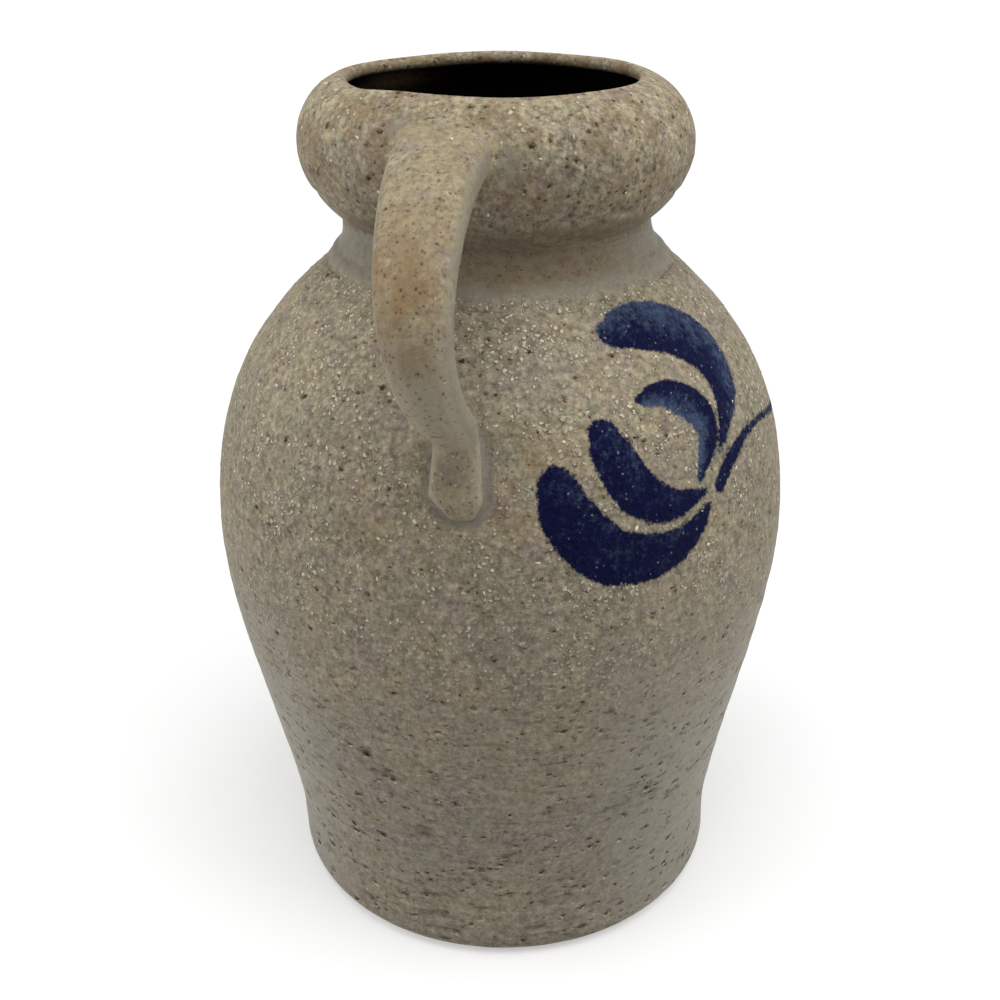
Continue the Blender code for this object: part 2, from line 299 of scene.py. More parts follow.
class Nodes:
    """A node tree in the making, for a material or for geometry."""

    def __init__(self, tree):
        self.tree = tree

    def feed(self, socket, value):
        if isinstance(value, Field):
            self.tree.links.new(value.socket, socket)
        else:
            socket.default_value = value

    def add(self, kind, settings=None, sockets=None, output=0):
        """A new node: its settings first, then its sockets' values or links. Gives one of its outputs."""
        node = self.tree.nodes.new(kind)
        for name, value in (settings or {}).items():
            setattr(node, name, value)
        for key, value in (sockets or {}).items():
            self.feed(node.inputs[key], value)
        return Field(self, node.outputs[output]) if node.outputs else node

    def place(self):
        return self.add("ShaderNodeTexCoord", output="Object")

    def attribute(self, name):
        return self.add("ShaderNodeAttribute", {"attribute_name": name}, output="Fac")

    def stretched(self, place, scale):
        return self.add("ShaderNodeVectorMath", {"operation": "MULTIPLY"}, {0: place, 1: scale})

    def shifted(self, place, by):
        return self.add("ShaderNodeVectorMath", {"operation": "ADD"}, {0: place, 1: by})

    def noise(self, place, scale, detail=2.0, roughness=0.5, distortion=0.0):
        return self.add("ShaderNodeTexNoise", {"noise_dimensions": "3D"},
                        {"Vector": place, "Scale": scale, "Detail": detail, "Roughness": roughness,
                         "Distortion": distortion})

    def parts(self, vector):
        """X, Y and Z of a vector."""
        split = self.add("ShaderNodeSeparateXYZ", sockets={0: vector})
        return split, split.other("Y"), split.other("Z")

    def mix(self, first, second, factor):
        """A colour between two colours."""
        return self.add("ShaderNodeMix", {"data_type": "RGBA", "clamp_factor": True},
                        {0: factor, 6: opaque(first), 7: opaque(second)}, output=2)

    def rough_sum(self, place, scale, octaves):
        """A signed sum of noises, each half the size of the last and about as strong."""
        return self.add("ShaderNodeTexNoise", {"noise_dimensions": "3D", "normalize": False},
                        {"Vector": place, "Scale": scale, "Detail": octaves - 1.0, "Roughness": 0.9})

    def jittered(self, place, scale, reach):
        """A place moved about by noise, so that round marks come out ragged."""
        noise = self.add("ShaderNodeTexNoise", {"noise_dimensions": "3D"},
                         {"Vector": place, "Scale": scale, "Detail": 3.0, "Roughness": 0.75}, output="Color")
        centred = self.add("ShaderNodeVectorMath", {"operation": "SUBTRACT"}, {0: noise, 1: (0.5, 0.5, 0.5)})
        return self.add("ShaderNodeVectorMath", {"operation": "MULTIPLY_ADD"},
                        {0: centred, 1: (reach, reach, reach), 2: place})

    def cells(self, place, spacing):
        """Distance to the middle of the nearest of many scattered cells, as a share of their spacing."""
        return self.add("ShaderNodeTexVoronoi", {"voronoi_dimensions": "3D", "feature": "F1"},
                        {"Vector": place, "Scale": 1 / spacing}, output="Distance")

    def spots(self, place, spacing, share, radius):
        """Spots in a random share of cells: 1 in the middle of a spot, 0 on its rim and less outside it."""
        cells = self.cells(place, spacing)
        red, green, _ = self.channels(cells.other("Color"))
        picked = red.ramp(1 - share - 0.01, 1 - share + 0.01)
        reach = radius / spacing * (0.45 + 0.55 * green)
        return picked * (2 - cells / reach) - 1

    def scaled(self, value, factor):
        """A colour made lighter or darker."""
        return self.add("ShaderNodeVectorMath", {"operation": "SCALE"}, {0: value, "Scale": factor})

    def channels(self, value):
        split = self.add("ShaderNodeSeparateColor", sockets={0: value})
        return split, split.other("Green"), split.other("Blue")


def opaque(value):
    """A plain colour with its alpha, or a link as it is."""
    return value if isinstance(value, Field) else (*value, 1.0)


def new_material(name):
    material = bpy.data.materials.new(name)
    material.use_nodes = True
    material.node_tree.nodes.clear()
    return material, Nodes(material.node_tree)


DRY_GLOSS = 0.02
# How much the rim round each pit is lightened: a painted highlight
RIM_HIGHLIGHT = 0.28


def fired_surface(nodes, base, roughness, height, gloss=DRY_GLOSS, coat=0.0):
    """The shader of a fired surface.

    Height is in millimetres and feeds the bump. Coat is the weight of the salt glaze's sheen.
    """
    bump = nodes.add("ShaderNodeBump", sockets={"Height": height, "Distance": MILLIMETRE, "Strength": 1.0})
    shader = nodes.add("ShaderNodeBsdfPrincipled",
                       sockets={"Base Color": opaque(base), "Roughness": roughness, "Normal": bump,
                                "Specular IOR Level": gloss, "Coat Weight": coat, "Coat Roughness": 0.42,
                                "Coat IOR": 1.3})
    nodes.add("ShaderNodeOutputMaterial", sockets={"Surface": shader})


class Clay:
    """Base colour, roughness and height in millimetres of a clay surface, built up layer by layer."""

    def __init__(self, nodes, place, grey, tan, warmth, peel, moss=0.75, coat=0.0, contrast=1.0):
        self.nodes = nodes
        self.place = place
        patches = nodes.noise(place, 30, 3, 0.55)
        tint = nodes.noise(place, 135, 3, 0.6)
        blush = nodes.noise(place, 120, 3, 0.6)
        lumps = nodes.cells(nodes.jittered(place, 700, 0.0024), 0.0019)
        _, lump_height, _ = nodes.channels(lumps.other("Color"))
        domes = lump_height * (1 - 1.25 * lumps).most(0)
        mottle = nodes.noise(place, 210, 4, 0.7) - 0.5
        self.grain = nodes.rough_sum(place, 420, 3)
        base = nodes.mix(grey, tan, (patches.ramp(0.35, 0.65) * 0.5 + warmth).clamped())
        base = nodes.mix(base, finish().moss, tint.ramp(0.50, 0.66) * moss)
        base = nodes.mix(base, finish().mauve, tint.ramp(0.50, 0.34) * 0.80)
        base = nodes.mix(base, finish().brown, blush.ramp(0.52, 0.72) * 0.24)
        bumps = nodes.noise(place, 330, 2, 0.55) - 0.5
        tone = (0.75 + 0.25 * peel) * (0.5 * self.grain + 1.7 * mottle) + 1.3 * peel * (domes - 0.25)
        self.base = nodes.scaled(base, 1 + finish().contrast * contrast * tone.most(-0.9))
        self.roughness = 0.60 + 0.10 * self.grain
        self.coat = coat
        relief, orange_peel = finish().relief / MILLIMETRE, finish().peel / MILLIMETRE
        self.height = relief * (2.4 * bumps + mottle) + orange_peel * peel * domes

    def stain(self, colour, cover):
        self.base = self.nodes.mix(self.base, colour, cover)

    def smooth(self, cover, share):
        """Wipes the roughness down where the cover is full."""
        self.height = self.height * (1 - share * cover)
        self.roughness = self.roughness - 0.12 * cover

    def pit(self, spacing, share, radius, stretch, depth, darkness, cover=1.0, ragged=2.6, halo=0.0, painted_highlight=0.0):
        """Dark ragged pits with a painted highlight round the rim, longer round the jug than high by the
        stretch.

        Halo is how brown the clay round a pit is, and painted_highlight how pale a pit's lower edge is
        painted, as if lit from above.
        """
        flat = (1.0, 1.0, stretch)
        place = self.nodes.jittered(self.place, 0.6 / radius, ragged * radius / stretch ** 0.8)
        spots = self.nodes.spots(self.nodes.stretched(place, flat), spacing, share, radius)
        # Painted highlight: the clay round each pit is lightened
        self.base = self.nodes.scaled(self.base, 1 + RIM_HIGHLIGHT * darkness * cover * spots.ramp(-0.6, 0.0))
        if halo:
            self.stain(finish().brown, halo * cover * spots.ramp(-1.0, 0.1))
        dark = darkness * cover * spots.ramp(-0.10, 0.55)
        self.stain(finish().pit, dark)
        # Painted highlight: the pale grain colour laid on the lower edge of each pit, as if lit from above
        if painted_highlight:
            below = self.nodes.stretched(self.nodes.shifted(place, (0.0, 0.0, 0.8 * radius / stretch)), flat)
            edge = self.nodes.spots(below, spacing, share, radius).ramp(-0.10, 0.30)
            self.stain(finish().grain, painted_highlight * cover * edge * (1 - spots.ramp(-0.10, 0.20)))
        if self.coat:
            self.coat = self.coat * (1 - dark)
        self.height = self.height - depth / MILLIMETRE * cover * spots.ramp(-0.7, 0.4)

    def specks(self, colour, spacing, share, radius, height, cover):
        """Small grains of another colour that stand out of the clay."""
        place = self.nodes.jittered(self.place, 0.30 / radius, 3.4 * radius)
        spots = self.nodes.spots(place, spacing, share, radius)
        self.stain(colour, 0.85 * cover * spots.ramp(0.0, 0.6))
        self.height = self.height + height / MILLIMETRE * cover * spots.ramp(-0.4, 0.5)

    def surface(self, gloss=DRY_GLOSS):
        fired_surface(self.nodes, self.base, self.roughness, self.height, gloss, self.coat)


def jug_clay(name):
    """Salt-glazed clay of the body: warm and gritty at the shoulder, greyer and dragged towards the foot."""
    material, nodes = new_material(name)
    place = nodes.place()
    _, north, up = nodes.parts(place)
    upper = up.ramp(0.074, 0.168)
    low = 1 - upper
    drag = nodes.noise(nodes.stretched(place, (40.0, 40.0, 800.0)), 1.0, 3, 0.6) - 0.5
    sheen = (0.33 - 0.27 * upper) * (1 + 2.0 * drag)
    clay = Clay(nodes, place, finish().grey, finish().tan, warmth=0.45 * upper, peel=0.30 + 0.70 * upper,
                moss=0.15 + 0.45 * upper, coat=sheen.clamped(), contrast=0.86 + 0.32 * upper)
    clay.height = clay.height + 0.32 * drag * low
    clay.base = nodes.scaled(clay.base, 1 + (0.45 * drag + 0.12 * clay.grain) * low)
    # Painted sheen: the clay is paled and smoothed low on the sides towards +Y and -Y
    side_sheen = (north.ramp(0.040, 0.066) + north.ramp(-0.028, -0.056)) * low
    clay.stain(finish().side_sheen, 0.60 * side_sheen)
    clay.smooth(side_sheen, 0.35)
    clumps = (nodes.noise(place, 90, 3, 0.6) + 0.10 * up.ramp(0.205, 0.218)).ramp(0.42, 0.60)
    clay.specks(finish().grain, 0.0016, 0.90, 0.00078, 0.00045, (0.06 + 0.94 * upper) * clumps)
    clay.specks(finish().grain, 0.0034, 0.50, 0.00090, 0.00055, upper * clumps)
    clay.pit(0.0012, 0.30, 0.00034, 1.2, 0.00010, 0.50)
    clay.pit(0.0026, 0.26, 0.00072, 1.5, 0.00035, 0.85, halo=0.25)
    clay.pit(0.0052, 0.22, 0.00120, 1.6, 0.00060, 0.94, halo=0.35)
    scar = nodes.attribute("scar")
    torn = (nodes.noise(place, 150, 2).ramp(0.40, 0.56) + scar).least(1)
    wrinkle = nodes.noise(nodes.stretched(place, (260.0, 260.0, 520.0)), 1.0, 3, 0.6)
    clay.height = clay.height + 2.2 * scar * wrinkle
    clay.stain(finish().umber_stain_and_shade, 0.55 * scar * wrinkle.ramp(0.50, 0.36))
    # These pits get a painted highlight on their lower edges
    clay.pit(0.0034, 0.34, 0.00105, 1.5, 0.00080, 0.92, low * torn, halo=0.20, painted_highlight=0.50)
    clay.pit(0.0066, 0.46, 0.00190, 1.8, 0.00120, 0.95, low * torn, halo=0.20, painted_highlight=0.60)
    clay.pit(0.0110, 0.40, 0.00280, 4.0, 0.00090, 0.80, low * torn, ragged=2.8)
    clay.stain(finish().pit, 0.45 * nodes.attribute("tear"))
    clay.stain(finish().flash, 0.45 * nodes.attribute("flash") * nodes.noise(place, 60, 3).ramp(0.35, 0.65))
    wiped = nodes.attribute("wiped")
    clay.stain(finish().slip, 0.75 * wiped)
    clay.smooth(wiped, 0.75)
    lay_cobalt(clay)
    clay.surface()
    return material


def lay_cobalt(clay):
    """Lays the brushwork over the clay. The mesh keeps how many millimetres inside a stroke each point is."""
    nodes, place = clay.nodes, clay.place
    edge = brushwork().edge / MILLIMETRE
    ragged = nodes.noise(place, 800, 3, 0.65) - 0.5
    wander = nodes.noise(place, 170, 2) - 0.5
    inside = nodes.attribute("brush") + 3.0 * edge * ragged + 1.6 * edge * wander
    cover = inside.ramp(-0.65, 0.50)
    streak = nodes.noise(place, 190, 4, 0.65, 0.6) - 0.5
    blotch = nodes.noise(place, 420, 3, 0.7) - 0.5
    pigment = nodes.attribute("pigment") + 1.7 * streak + 1.6 * blotch + 1.5 * ragged
    blue = nodes.mix(brushwork().wash, brushwork().dark, pigment.ramp(-0.30, 0.98))
    # Pale specks through the cobalt: partly grains, partly painted glints
    bare = nodes.spots(nodes.jittered(place, 900, 0.0008), 0.0019, 0.45, 0.00046).ramp(0.0, 0.5)
    clay.stain(blue, cover * 0.985)
    clay.stain(brushwork().grains_and_glints, 0.55 * bare * cover)
    clay.coat = clay.coat * (1 - 0.8 * cover)


def collar_clay(name):
    """Clay of the neck and collar, warm and gritty, with painted shade under the collar and inside the lip, a
    lip stained brown partly by flame, and the dark lining inside with one patch painted as lit.
    """
    material, nodes = new_material(name)
    place = nodes.place()
    east, north, up = nodes.parts(place)
    bulb = up.ramp(thrown().crease_height, thrown().crease_height + 0.014)
    crown = up.ramp(0.262, 0.279)
    clay = Clay(nodes, place, finish().grey, finish().tan, warmth=0.35 * bulb + 0.5 * crown,
                peel=0.2 + 0.5 * bulb, moss=0.45, coat=0.12, contrast=1.7)
    clay.stain(finish().brown, 0.60 * bulb * nodes.noise(place, 85, 4, 0.7).ramp(0.45, 0.66))
    wiped = nodes.attribute("wiped")
    clay.stain(finish().slip, 0.75 * wiped)
    clay.smooth(wiped, 0.75)
    clumps = nodes.noise(place, 70, 2).ramp(0.36, 0.60)
    clay.specks(finish().grain, 0.0024, 0.50, 0.00095, 0.00035, (0.15 + 0.85 * crown) * clumps)
    clay.pit(0.0012, 0.35, 0.00036, 1.0, 0.00010, 0.55)
    clay.pit(0.0026, 0.34, 0.00078, 1.3, 0.00035, 0.88, bulb, halo=0.4)
    clay.pit(0.0056, 0.34, 0.00130, 1.4, 0.00070, 0.95, bulb, halo=0.5)
    # Brown inside the lip: partly flame flash, partly painted shade going into the mouth
    clay.stain(finish().brown, 0.75 * nodes.attribute("flash") * nodes.noise(place, 90, 3).ramp(0.40, 0.62))
    # Painted shade: umber under the collar's bulb, and a little less on the neck below the crease
    under = up.ramp(0.2478, 0.2442)
    neck = up.ramp(0.2396, 0.2366)
    clay.stain(finish().umber_stain_and_shade, (0.44 - 0.16 * neck) * under)
    clay.smooth(under * (1 - neck), 0.60)
    mottled = nodes.noise(place, 190, 4, 0.7).ramp(0.30, 0.60)
    # Brown on the strap's side of the neck: partly flame stain, partly painted shade from the collar and
    # strap
    clay.stain(finish().brown, 0.55 * neck * neck_stain_and_shade_side(east, north) * mottled)
    clay.pit(0.0016, 0.60, 0.00044, 1.2, 0.00012, 0.70, neck, halo=0.5)
    depth = nodes.attribute("depth") + 1.6 * (nodes.noise(place, 160, 3) - 0.5)
    # Painted shade: umber inside the lip, darkening as it goes down into the mouth before the dark lining
    clay.stain(finish().umber_stain_and_shade, 0.60 * depth.ramp(4.6, 6.4))
    # Painted light: where the thin mark is, the lining is lightened towards umber in one patch of the inner
    # wall, as if lit
    glaze = nodes.mix(finish().lining, finish().umber_stain_and_shade, nodes.attribute("thin"))
    clay.stain(glaze, depth.ramp(6.4, 7.4))
    clay.surface()
    return material


def strap_clay(name):
    """Clay of the strap: pale, smooth and streaked along its length, with a brown flash at the grip."""
    material, nodes = new_material(name)
    place = nodes.place()
    along = nodes.attribute("along")
    across = nodes.attribute("across")
    clay = Clay(nodes, place, finish().tan, finish().strap, warmth=0.75, peel=0.35, moss=0.20, coat=0.12,
                contrast=1.35)
    streaks = nodes.add("ShaderNodeCombineXYZ", sockets={0: across * 9, 1: along * 5, 2: 0.0})
    clay.stain(finish().tan, 0.45 * nodes.noise(streaks, 1.0, 4, 0.6).ramp(0.45, 0.75))
    worn = along + 0.14 * (nodes.noise(place, 75, 3, 0.6) - 0.5)
    tail = along.ramp(0.74, 0.86)
    clay.stain(finish().chalk, 0.85 * worn.ramp(0.42, 0.60) * along.ramp(1.10, 0.70))
    blush = worn.ramp(0.24, 0.38) * worn.ramp(0.58, 0.44) * nodes.noise(place, 110, 4, 0.7).ramp(0.32, 0.62)
    clay.stain(finish().flash, 0.80 * blush * across.ramp(0.85, 0.45))
    sides = (across.ramp(0.80, 0.93) + across.ramp(-0.84, -0.96)).least(1)
    rim = (across.ramp(0.62, 0.78) + across.ramp(-0.62, -0.78)).least(1)
    clay.stain(finish().slip, 0.55 * sides * (1 - tail))
    clay.stain(finish().chalk, 0.55 * tail * rim)
    clay.specks(finish().grain, 0.0022, 0.60, 0.00075, 0.00035, 0.6 * tail)
    clay.smooth(1 - tail, 0.35)
    clay.pit(0.0013, 0.60, 0.00046, 0.9, 0.00008, 0.62, 1 - 0.6 * sides, halo=0.35)
    clay.pit(0.0022, 0.60, 0.00050, 0.7, 0.00015, 0.75, 1 - 0.7 * sides, halo=0.5)
    clay.pit(0.0070, 0.30, 0.00100, 0.6, 0.00035, 0.85, 1 - 0.8 * sides, ragged=2.0, halo=0.5)
    clay.surface()
    return material


NECK_STAIN_AND_SHADE_TURN = math.radians(20)


def neck_stain_and_shade_side(east, north):
    """1 on the side of the neck by the strap, where a flame stain and painted shade from the strap and collar
    are laid, 0 on the others.
    """
    return (east * math.cos(NECK_STAIN_AND_SHADE_TURN) + north * math.sin(NECK_STAIN_AND_SHADE_TURN)).ramp(0.026, 0.046)


def slip_finish(name, tone):
    """Slip wiped smooth over a joint."""
    material, nodes = new_material(name)
    place = nodes.place()
    east, north, up = nodes.parts(place)
    lap = (nodes.attribute("lap") + 0.8 * (nodes.noise(place, 130, 3, 0.6) - 0.5)).clamped()
    clay = Clay(nodes, place, finish().grey, finish().tan, warmth=0.45, peel=0.9 - 0.7 * lap, moss=0.5,
                coat=0.05, contrast=1.25)
    clay.specks(finish().grain, 0.0016, 0.85, 0.00078, 0.00045, 1 - lap)
    clay.stain(tone, 0.80 * lap)
    streaky = nodes.noise(nodes.stretched(place, (300.0, 300.0, 700.0)), 1.0, 4, 0.75) - 0.5
    clay.base = nodes.scaled(clay.base, 1 + 0.9 * lap * streaky)
    wander = up + 0.007 * (nodes.noise(place, 60, 4, 0.65) - 0.5)
    mottled = nodes.noise(place, 190, 4, 0.7).ramp(0.15, 0.60)
    # Brown and umber on the strap's side of the neck: partly flame stain, partly painted shade from the
    # collar and strap
    stain = neck_stain_and_shade_side(east, north) * wander.ramp(0.2268, 0.2308) * mottled
    clay.stain(finish().brown, 0.60 * stain)
    clay.stain(finish().umber_stain_and_shade, 0.45 * stain * nodes.noise(place, 420, 4, 0.75).ramp(0.45, 0.60))
    clay.smooth(lap, 0.40)
    clay.pit(0.0012, 0.30, 0.00034, 1.0, 0.00008, 0.45)
    clay.pit(0.0014, 0.70, 0.00046, 1.2, 0.00012, 0.80, stain, halo=0.4)
    clay.pit(0.0036, 0.20, 0.00060, 1.6, 0.00020, 0.70)
    clay.surface()
    return material


def lining_finish(name):
    """Dark slip glaze inside the jug."""
    material, nodes = new_material(name)
    place = nodes.place()
    runs = nodes.noise(nodes.stretched(place, (90.0, 90.0, 18.0)), 1.0, 3)
    base = nodes.mix(finish().lining, (0.014, 0.008, 0.005), runs.ramp(0.45, 0.75))
    fired_surface(nodes, base, 0.35 + 0.15 * runs, 0.3 * runs, 0.25)
    return material


def bare_finish(name):
    """Unglazed clay under the foot, with kiln grit and wear."""
    material, nodes = new_material(name)
    clay = Clay(nodes, nodes.place(), finish().tan, finish().bare, warmth=0.5, peel=0.8)
    clay.specks(finish().grain, 0.0030, 0.30, 0.00055, 0.00022, 1.0)
    clay.pit(0.0030, 0.30, 0.00060, 1.0, 0.00030, 0.80)
    clay.surface()
    return material


def grit_finish(name):
    """Quartz and iron-stained grains that stand out of the clay."""
    material, nodes = new_material(name)
    place = nodes.place()
    kind = nodes.noise(place, 260, 2)
    base = nodes.mix(finish().grain, finish().tan, kind.ramp(0.46, 0.62))
    shade = nodes.noise(place, 1400, 2)
    base = nodes.mix(base, finish().grey, shade.ramp(0.5, 0.8) * 0.5)
    fired_surface(nodes, base, 0.42 + 0.2 * shade, 0.1 * shade)
    return material


# Outlines in the half plane of radius and height

def curve(start, start_direction, end, end_direction, fullness, points=48):
    """Points of one cubic curve. Fullness is how far each end holds its direction, as a share of the rise."""
    span = abs(end.y - start.y)
    leave = start + start_direction * fullness[0] * span
    arrive = end - end_direction * fullness[1] * span
    return interpolate_bezier(start, leave, arrive, end, points)


def arc(centre, radius, start_angle, end_angle, points=9):
    turns = np.linspace(start_angle, end_angle, points)
    return [centre + radius * Vector((math.cos(turn), math.sin(turn))) for turn in turns]


def slope(pitch):
    """Unit direction that climbs inwards at a pitch."""
    return Vector((-math.cos(pitch), math.sin(pitch)))


def spaced(points, step, axes=None):
    """The same line with points at an even step, measured along all its columns or along the first few."""
    points = np.array(points, float)
    along = distance_along(points[:, :axes])
    places = np.linspace(0, along[-1], max(2, round(along[-1] / step) + 1))
    return np.stack([np.interp(places, along, column) for column in points.T], axis=1)


def distance_along(points):
    steps = np.linalg.norm(np.diff(points, axis=0), axis=1)
    return np.concatenate([[0], np.cumsum(steps)])


def outward(line):
    """Unit normals of a line that climbs with the clay on its left."""
    along = np.gradient(line, axis=0)
    along /= np.linalg.norm(along, axis=1, keepdims=True)
    return np.stack([along[:, 1], -along[:, 0]], axis=1)


def wall_line():
    """Outside of the body, from the flat of the foot up to the seam."""
    size = thrown()
    edge_centre = Vector((size.foot_radius - size.foot_edge, size.foot_edge))
    knee = Vector((size.foot_radius, size.foot_band))
    belly = Vector((size.belly_radius, size.belly_height))
    seam = Vector((size.seam_radius, size.seam_height))
    lean = Vector((math.sin(size.flare_lean), math.cos(size.flare_lean)))
    foot = arc(edge_centre, size.foot_edge, -math.pi / 2, 0)
    flare = curve(knee, lean, belly, UP, (0.25, 0.27))
    shoulder = curve(belly, UP, seam, slope(size.shoulder_pitch), (0.50, 0.39))
    return np.array(foot + flare + shoulder[1:])


def neck_line():
    """Outside of the neck, from the seam to the crease."""
    size = thrown()
    seam = Vector((size.seam_radius, size.seam_height))
    crease = Vector((size.neck_radius, size.crease_height))
    return np.array(curve(seam, slope(size.shoulder_pitch), crease, UP, (0.44, 0.48), 24))


def bulb_line():
    """Outside of the collar, from the crease to the crest of the lip."""
    size = thrown()
    crease = Vector((size.neck_radius, size.crease_height))
    widest = Vector((size.collar_radius, size.collar_height))
    crest = Vector((size.lip_radius, size.lip_height))
    swell = curve(crease, -slope(-size.undercut), widest, UP, (0.45, 0.43))
    lip = curve(widest, UP, crest, slope(size.lip_pitch), (0.49, 0.42))
    return np.array(swell + lip[1:])


def wall_at(height):
    """Radius of the outside of the body at a height, and the wall's normal there."""
    line = wall_line()
    normals = outward(line)
    at = [np.interp(height, line[:, 1], values) for values in (line[:, 0], normals[:, 0], normals[:, 1])]
    return np.array(at)


# Meshes

def lofted(name, sections, wrap=False, closed=True):
    """A mesh over sections with as many points each. It wraps round, or its closed sections are capped."""
    count, points, _ = sections.shape
    rows = np.arange(count if wrap else count - 1)
    columns = np.arange(points if closed else points - 1)
    row, column = (grid.ravel() for grid in np.meshgrid(rows, columns, indexing="ij"))
    next_row, next_column = (row + 1) % count, (column + 1) % points
    quads = np.stack([row * points + column, next_row * points + column,
                      next_row * points + next_column, row * points + next_column], axis=1).tolist()
    if closed and not wrap:
        quads += [list(range(points)), list(range((count - 1) * points, count * points))]
    mesh = bpy.data.meshes.new(name)
    mesh.from_pydata(sections.reshape(-1, 3).tolist(), [], quads)
    made = bpy.data.objects.new(name, mesh)
    bpy.context.scene.collection.objects.link(made)
    return made


def turned(line, segments):
    """Sections of a line turned round the axis."""
    turns = np.arange(segments) * (2 * math.pi / segments)
    radius, height = line[None, :, 0], line[None, :, 1]
    return np.stack([radius * np.cos(turns)[:, None], radius * np.sin(turns)[:, None],
                     np.broadcast_to(height, (segments, len(line)))], axis=2)


def mark(made, name, values):
    """Keeps a value for each point of a mesh."""
    layer = made.data.attributes.get(name) or made.data.attributes.new(name, "FLOAT", "POINT")
    layer.data.foreach_set("value", np.ascontiguousarray(values, np.float32).ravel())


def marks(made, name):
    values = np.zeros(len(made.data.vertices), np.float32)
    made.data.attributes[name].data.foreach_get("value", values)
    return values


def points_of(made):
    points = np.zeros(len(made.data.vertices) * 3, np.float32)
    made.data.vertices.foreach_get("co", points)
    return points.reshape(-1, 3).astype(float)


def move_points(made, points):
    made.data.vertices.foreach_set("co", np.ascontiguousarray(points, np.float32).ravel())
    made.data.update()


def sealed(made):
    """Closes poles and seams and turns every face outwards."""
    bm = bmesh.new()
    bm.from_mesh(made.data)
    bmesh.ops.remove_doubles(bm, verts=bm.verts, dist=MILLIMETRE / 1000)
    bmesh.ops.recalc_face_normals(bm, faces=bm.faces)
    bm.to_mesh(made.data)
    bm.free()
    made.data.shade_smooth()
    return made


def settled(made):
    """Turns what the modifiers make into the object's own plain mesh."""
    shown = made.evaluated_get(bpy.context.evaluated_depsgraph_get())
    mesh = bpy.data.meshes.new_from_object(shown)
    made.modifiers.clear()
    made.data = mesh
    return made


def face_means(made, values):
    """Mean over each face's corners of a value kept on points."""
    corners = np.zeros(len(made.data.loops), np.int64)
    made.data.loops.foreach_get("vertex_index", corners)
    starts = np.zeros(len(made.data.polygons), np.int64)
    made.data.polygons.foreach_get("loop_start", starts)
    totals = np.add.reduceat(values[corners], starts)
    return totals / np.diff(np.append(starts, len(corners)))


def joined_to_jug(made, slot, *nodes):
    """Makes a finished piece ride on the jug and stand for its solids."""
    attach(made, BODY)
    if nodes:
        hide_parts(*nodes)


# Geometry nodes

def node_modifier(made, tree, values):
    """Puts a node tree on an object and sets its named inputs."""
    modifier = made.modifiers.new(tree.name, "NODES")
    modifier.node_group = tree
    for item in tree.interface.items_tree:
        if item.in_out == "INPUT" and item.name in values:
            modifier[item.identifier] = values[item.name]


def geometry_tree(name, inputs):
    """An empty geometry tree with named inputs. Gives the tree, its nodes and a field for each input."""
    tree = bpy.data.node_groups.new(name, "GeometryNodeTree")
    tree.interface.new_socket("Geometry", in_out="INPUT", socket_type="NodeSocketGeometry")
    for label, kind in inputs.items():
        tree.interface.new_socket(label, in_out="INPUT", socket_type=kind)
    tree.interface.new_socket("Geometry", in_out="OUTPUT", socket_type="NodeSocketGeometry")
    nodes = Nodes(tree)
    entry = tree.nodes.new("NodeGroupInput")
    fields = {socket.name: Field(nodes, socket) for socket in entry.outputs if socket.name}
    return tree, nodes, fields


def finish_tree(nodes, geometry, material):
    dressed = nodes.add("GeometryNodeSetMaterial", sockets={"Geometry": geometry, "Material": material})
    nodes.add("NodeGroupOutput", sockets={0: dressed})


def wheel_marks_tree():
    """Moves a thrown wall in and out: slow lumps, throwing rings, and torn drag marks low on the wall."""
    tree, nodes, inputs = geometry_tree("wheel_marks", {
        "Ring Height": "NodeSocketFloat", "Lump Height": "NodeSocketFloat", "Tear Depth": "NodeSocketFloat",
        "Tear Top": "NodeSocketFloat", "Material": "NodeSocketMaterial"})
    place = nodes.add("GeometryNodeInputPosition")
    _, _, up = nodes.parts(place)
    lumps = nodes.noise(place, 20, 2) - 0.5
    dents = nodes.noise(place, 130, 2) - 0.5
    rings = nodes.noise(nodes.stretched(place, (7.0, 7.0, 150.0)), 1.0, 3) - 0.5
    torn = nodes.noise(nodes.stretched(place, (75.0, 75.0, 340.0)), 1.0, 2, 0.45)
    low = up.ramp(inputs["Tear Top"], inputs["Tear Top"] * 0.45)
    tear = torn.ramp(0.60, 0.72) * low
    shown = named(nodes, "outside")
    move = (lumps * 2 + dents * 0.5) * inputs["Lump Height"] + rings * 2 * inputs["Ring Height"]
    move = (move - tear * inputs["Tear Depth"]) * shown - named(nodes, "sunk")
    along = nodes.add("ShaderNodeVectorMath", {"operation": "SCALE"},
                      {0: nodes.add("GeometryNodeInputNormal"), "Scale": move})
    kept = nodes.add("GeometryNodeStoreNamedAttribute", {"data_type": "FLOAT", "domain": "POINT"},
                     {"Geometry": inputs["Geometry"], "Name": "tear", "Value": tear * shown})
    moved = nodes.add("GeometryNodeSetPosition", sockets={"Geometry": kept, "Offset": along})
    finish_tree(nodes, nodes.add("GeometryNodeRealizeInstances", sockets={0: moved}), inputs["Material"])
    return tree


def leave_wheel_marks(made, clay, ring_height, lump_height, tear_depth=0.0):
    """Gives a thrown or pulled piece its wheel marks and its clay."""
    node_modifier(made, wheel_marks_tree(), {
        "Ring Height": ring_height, "Lump Height": lump_height, "Tear Depth": tear_depth,
        "Tear Top": thrown().belly_height, "Material": clay})
    settled(made)


def named(nodes, name):
    return nodes.add("GeometryNodeInputNamedAttribute", {"data_type": "FLOAT"}, {"Name": name})


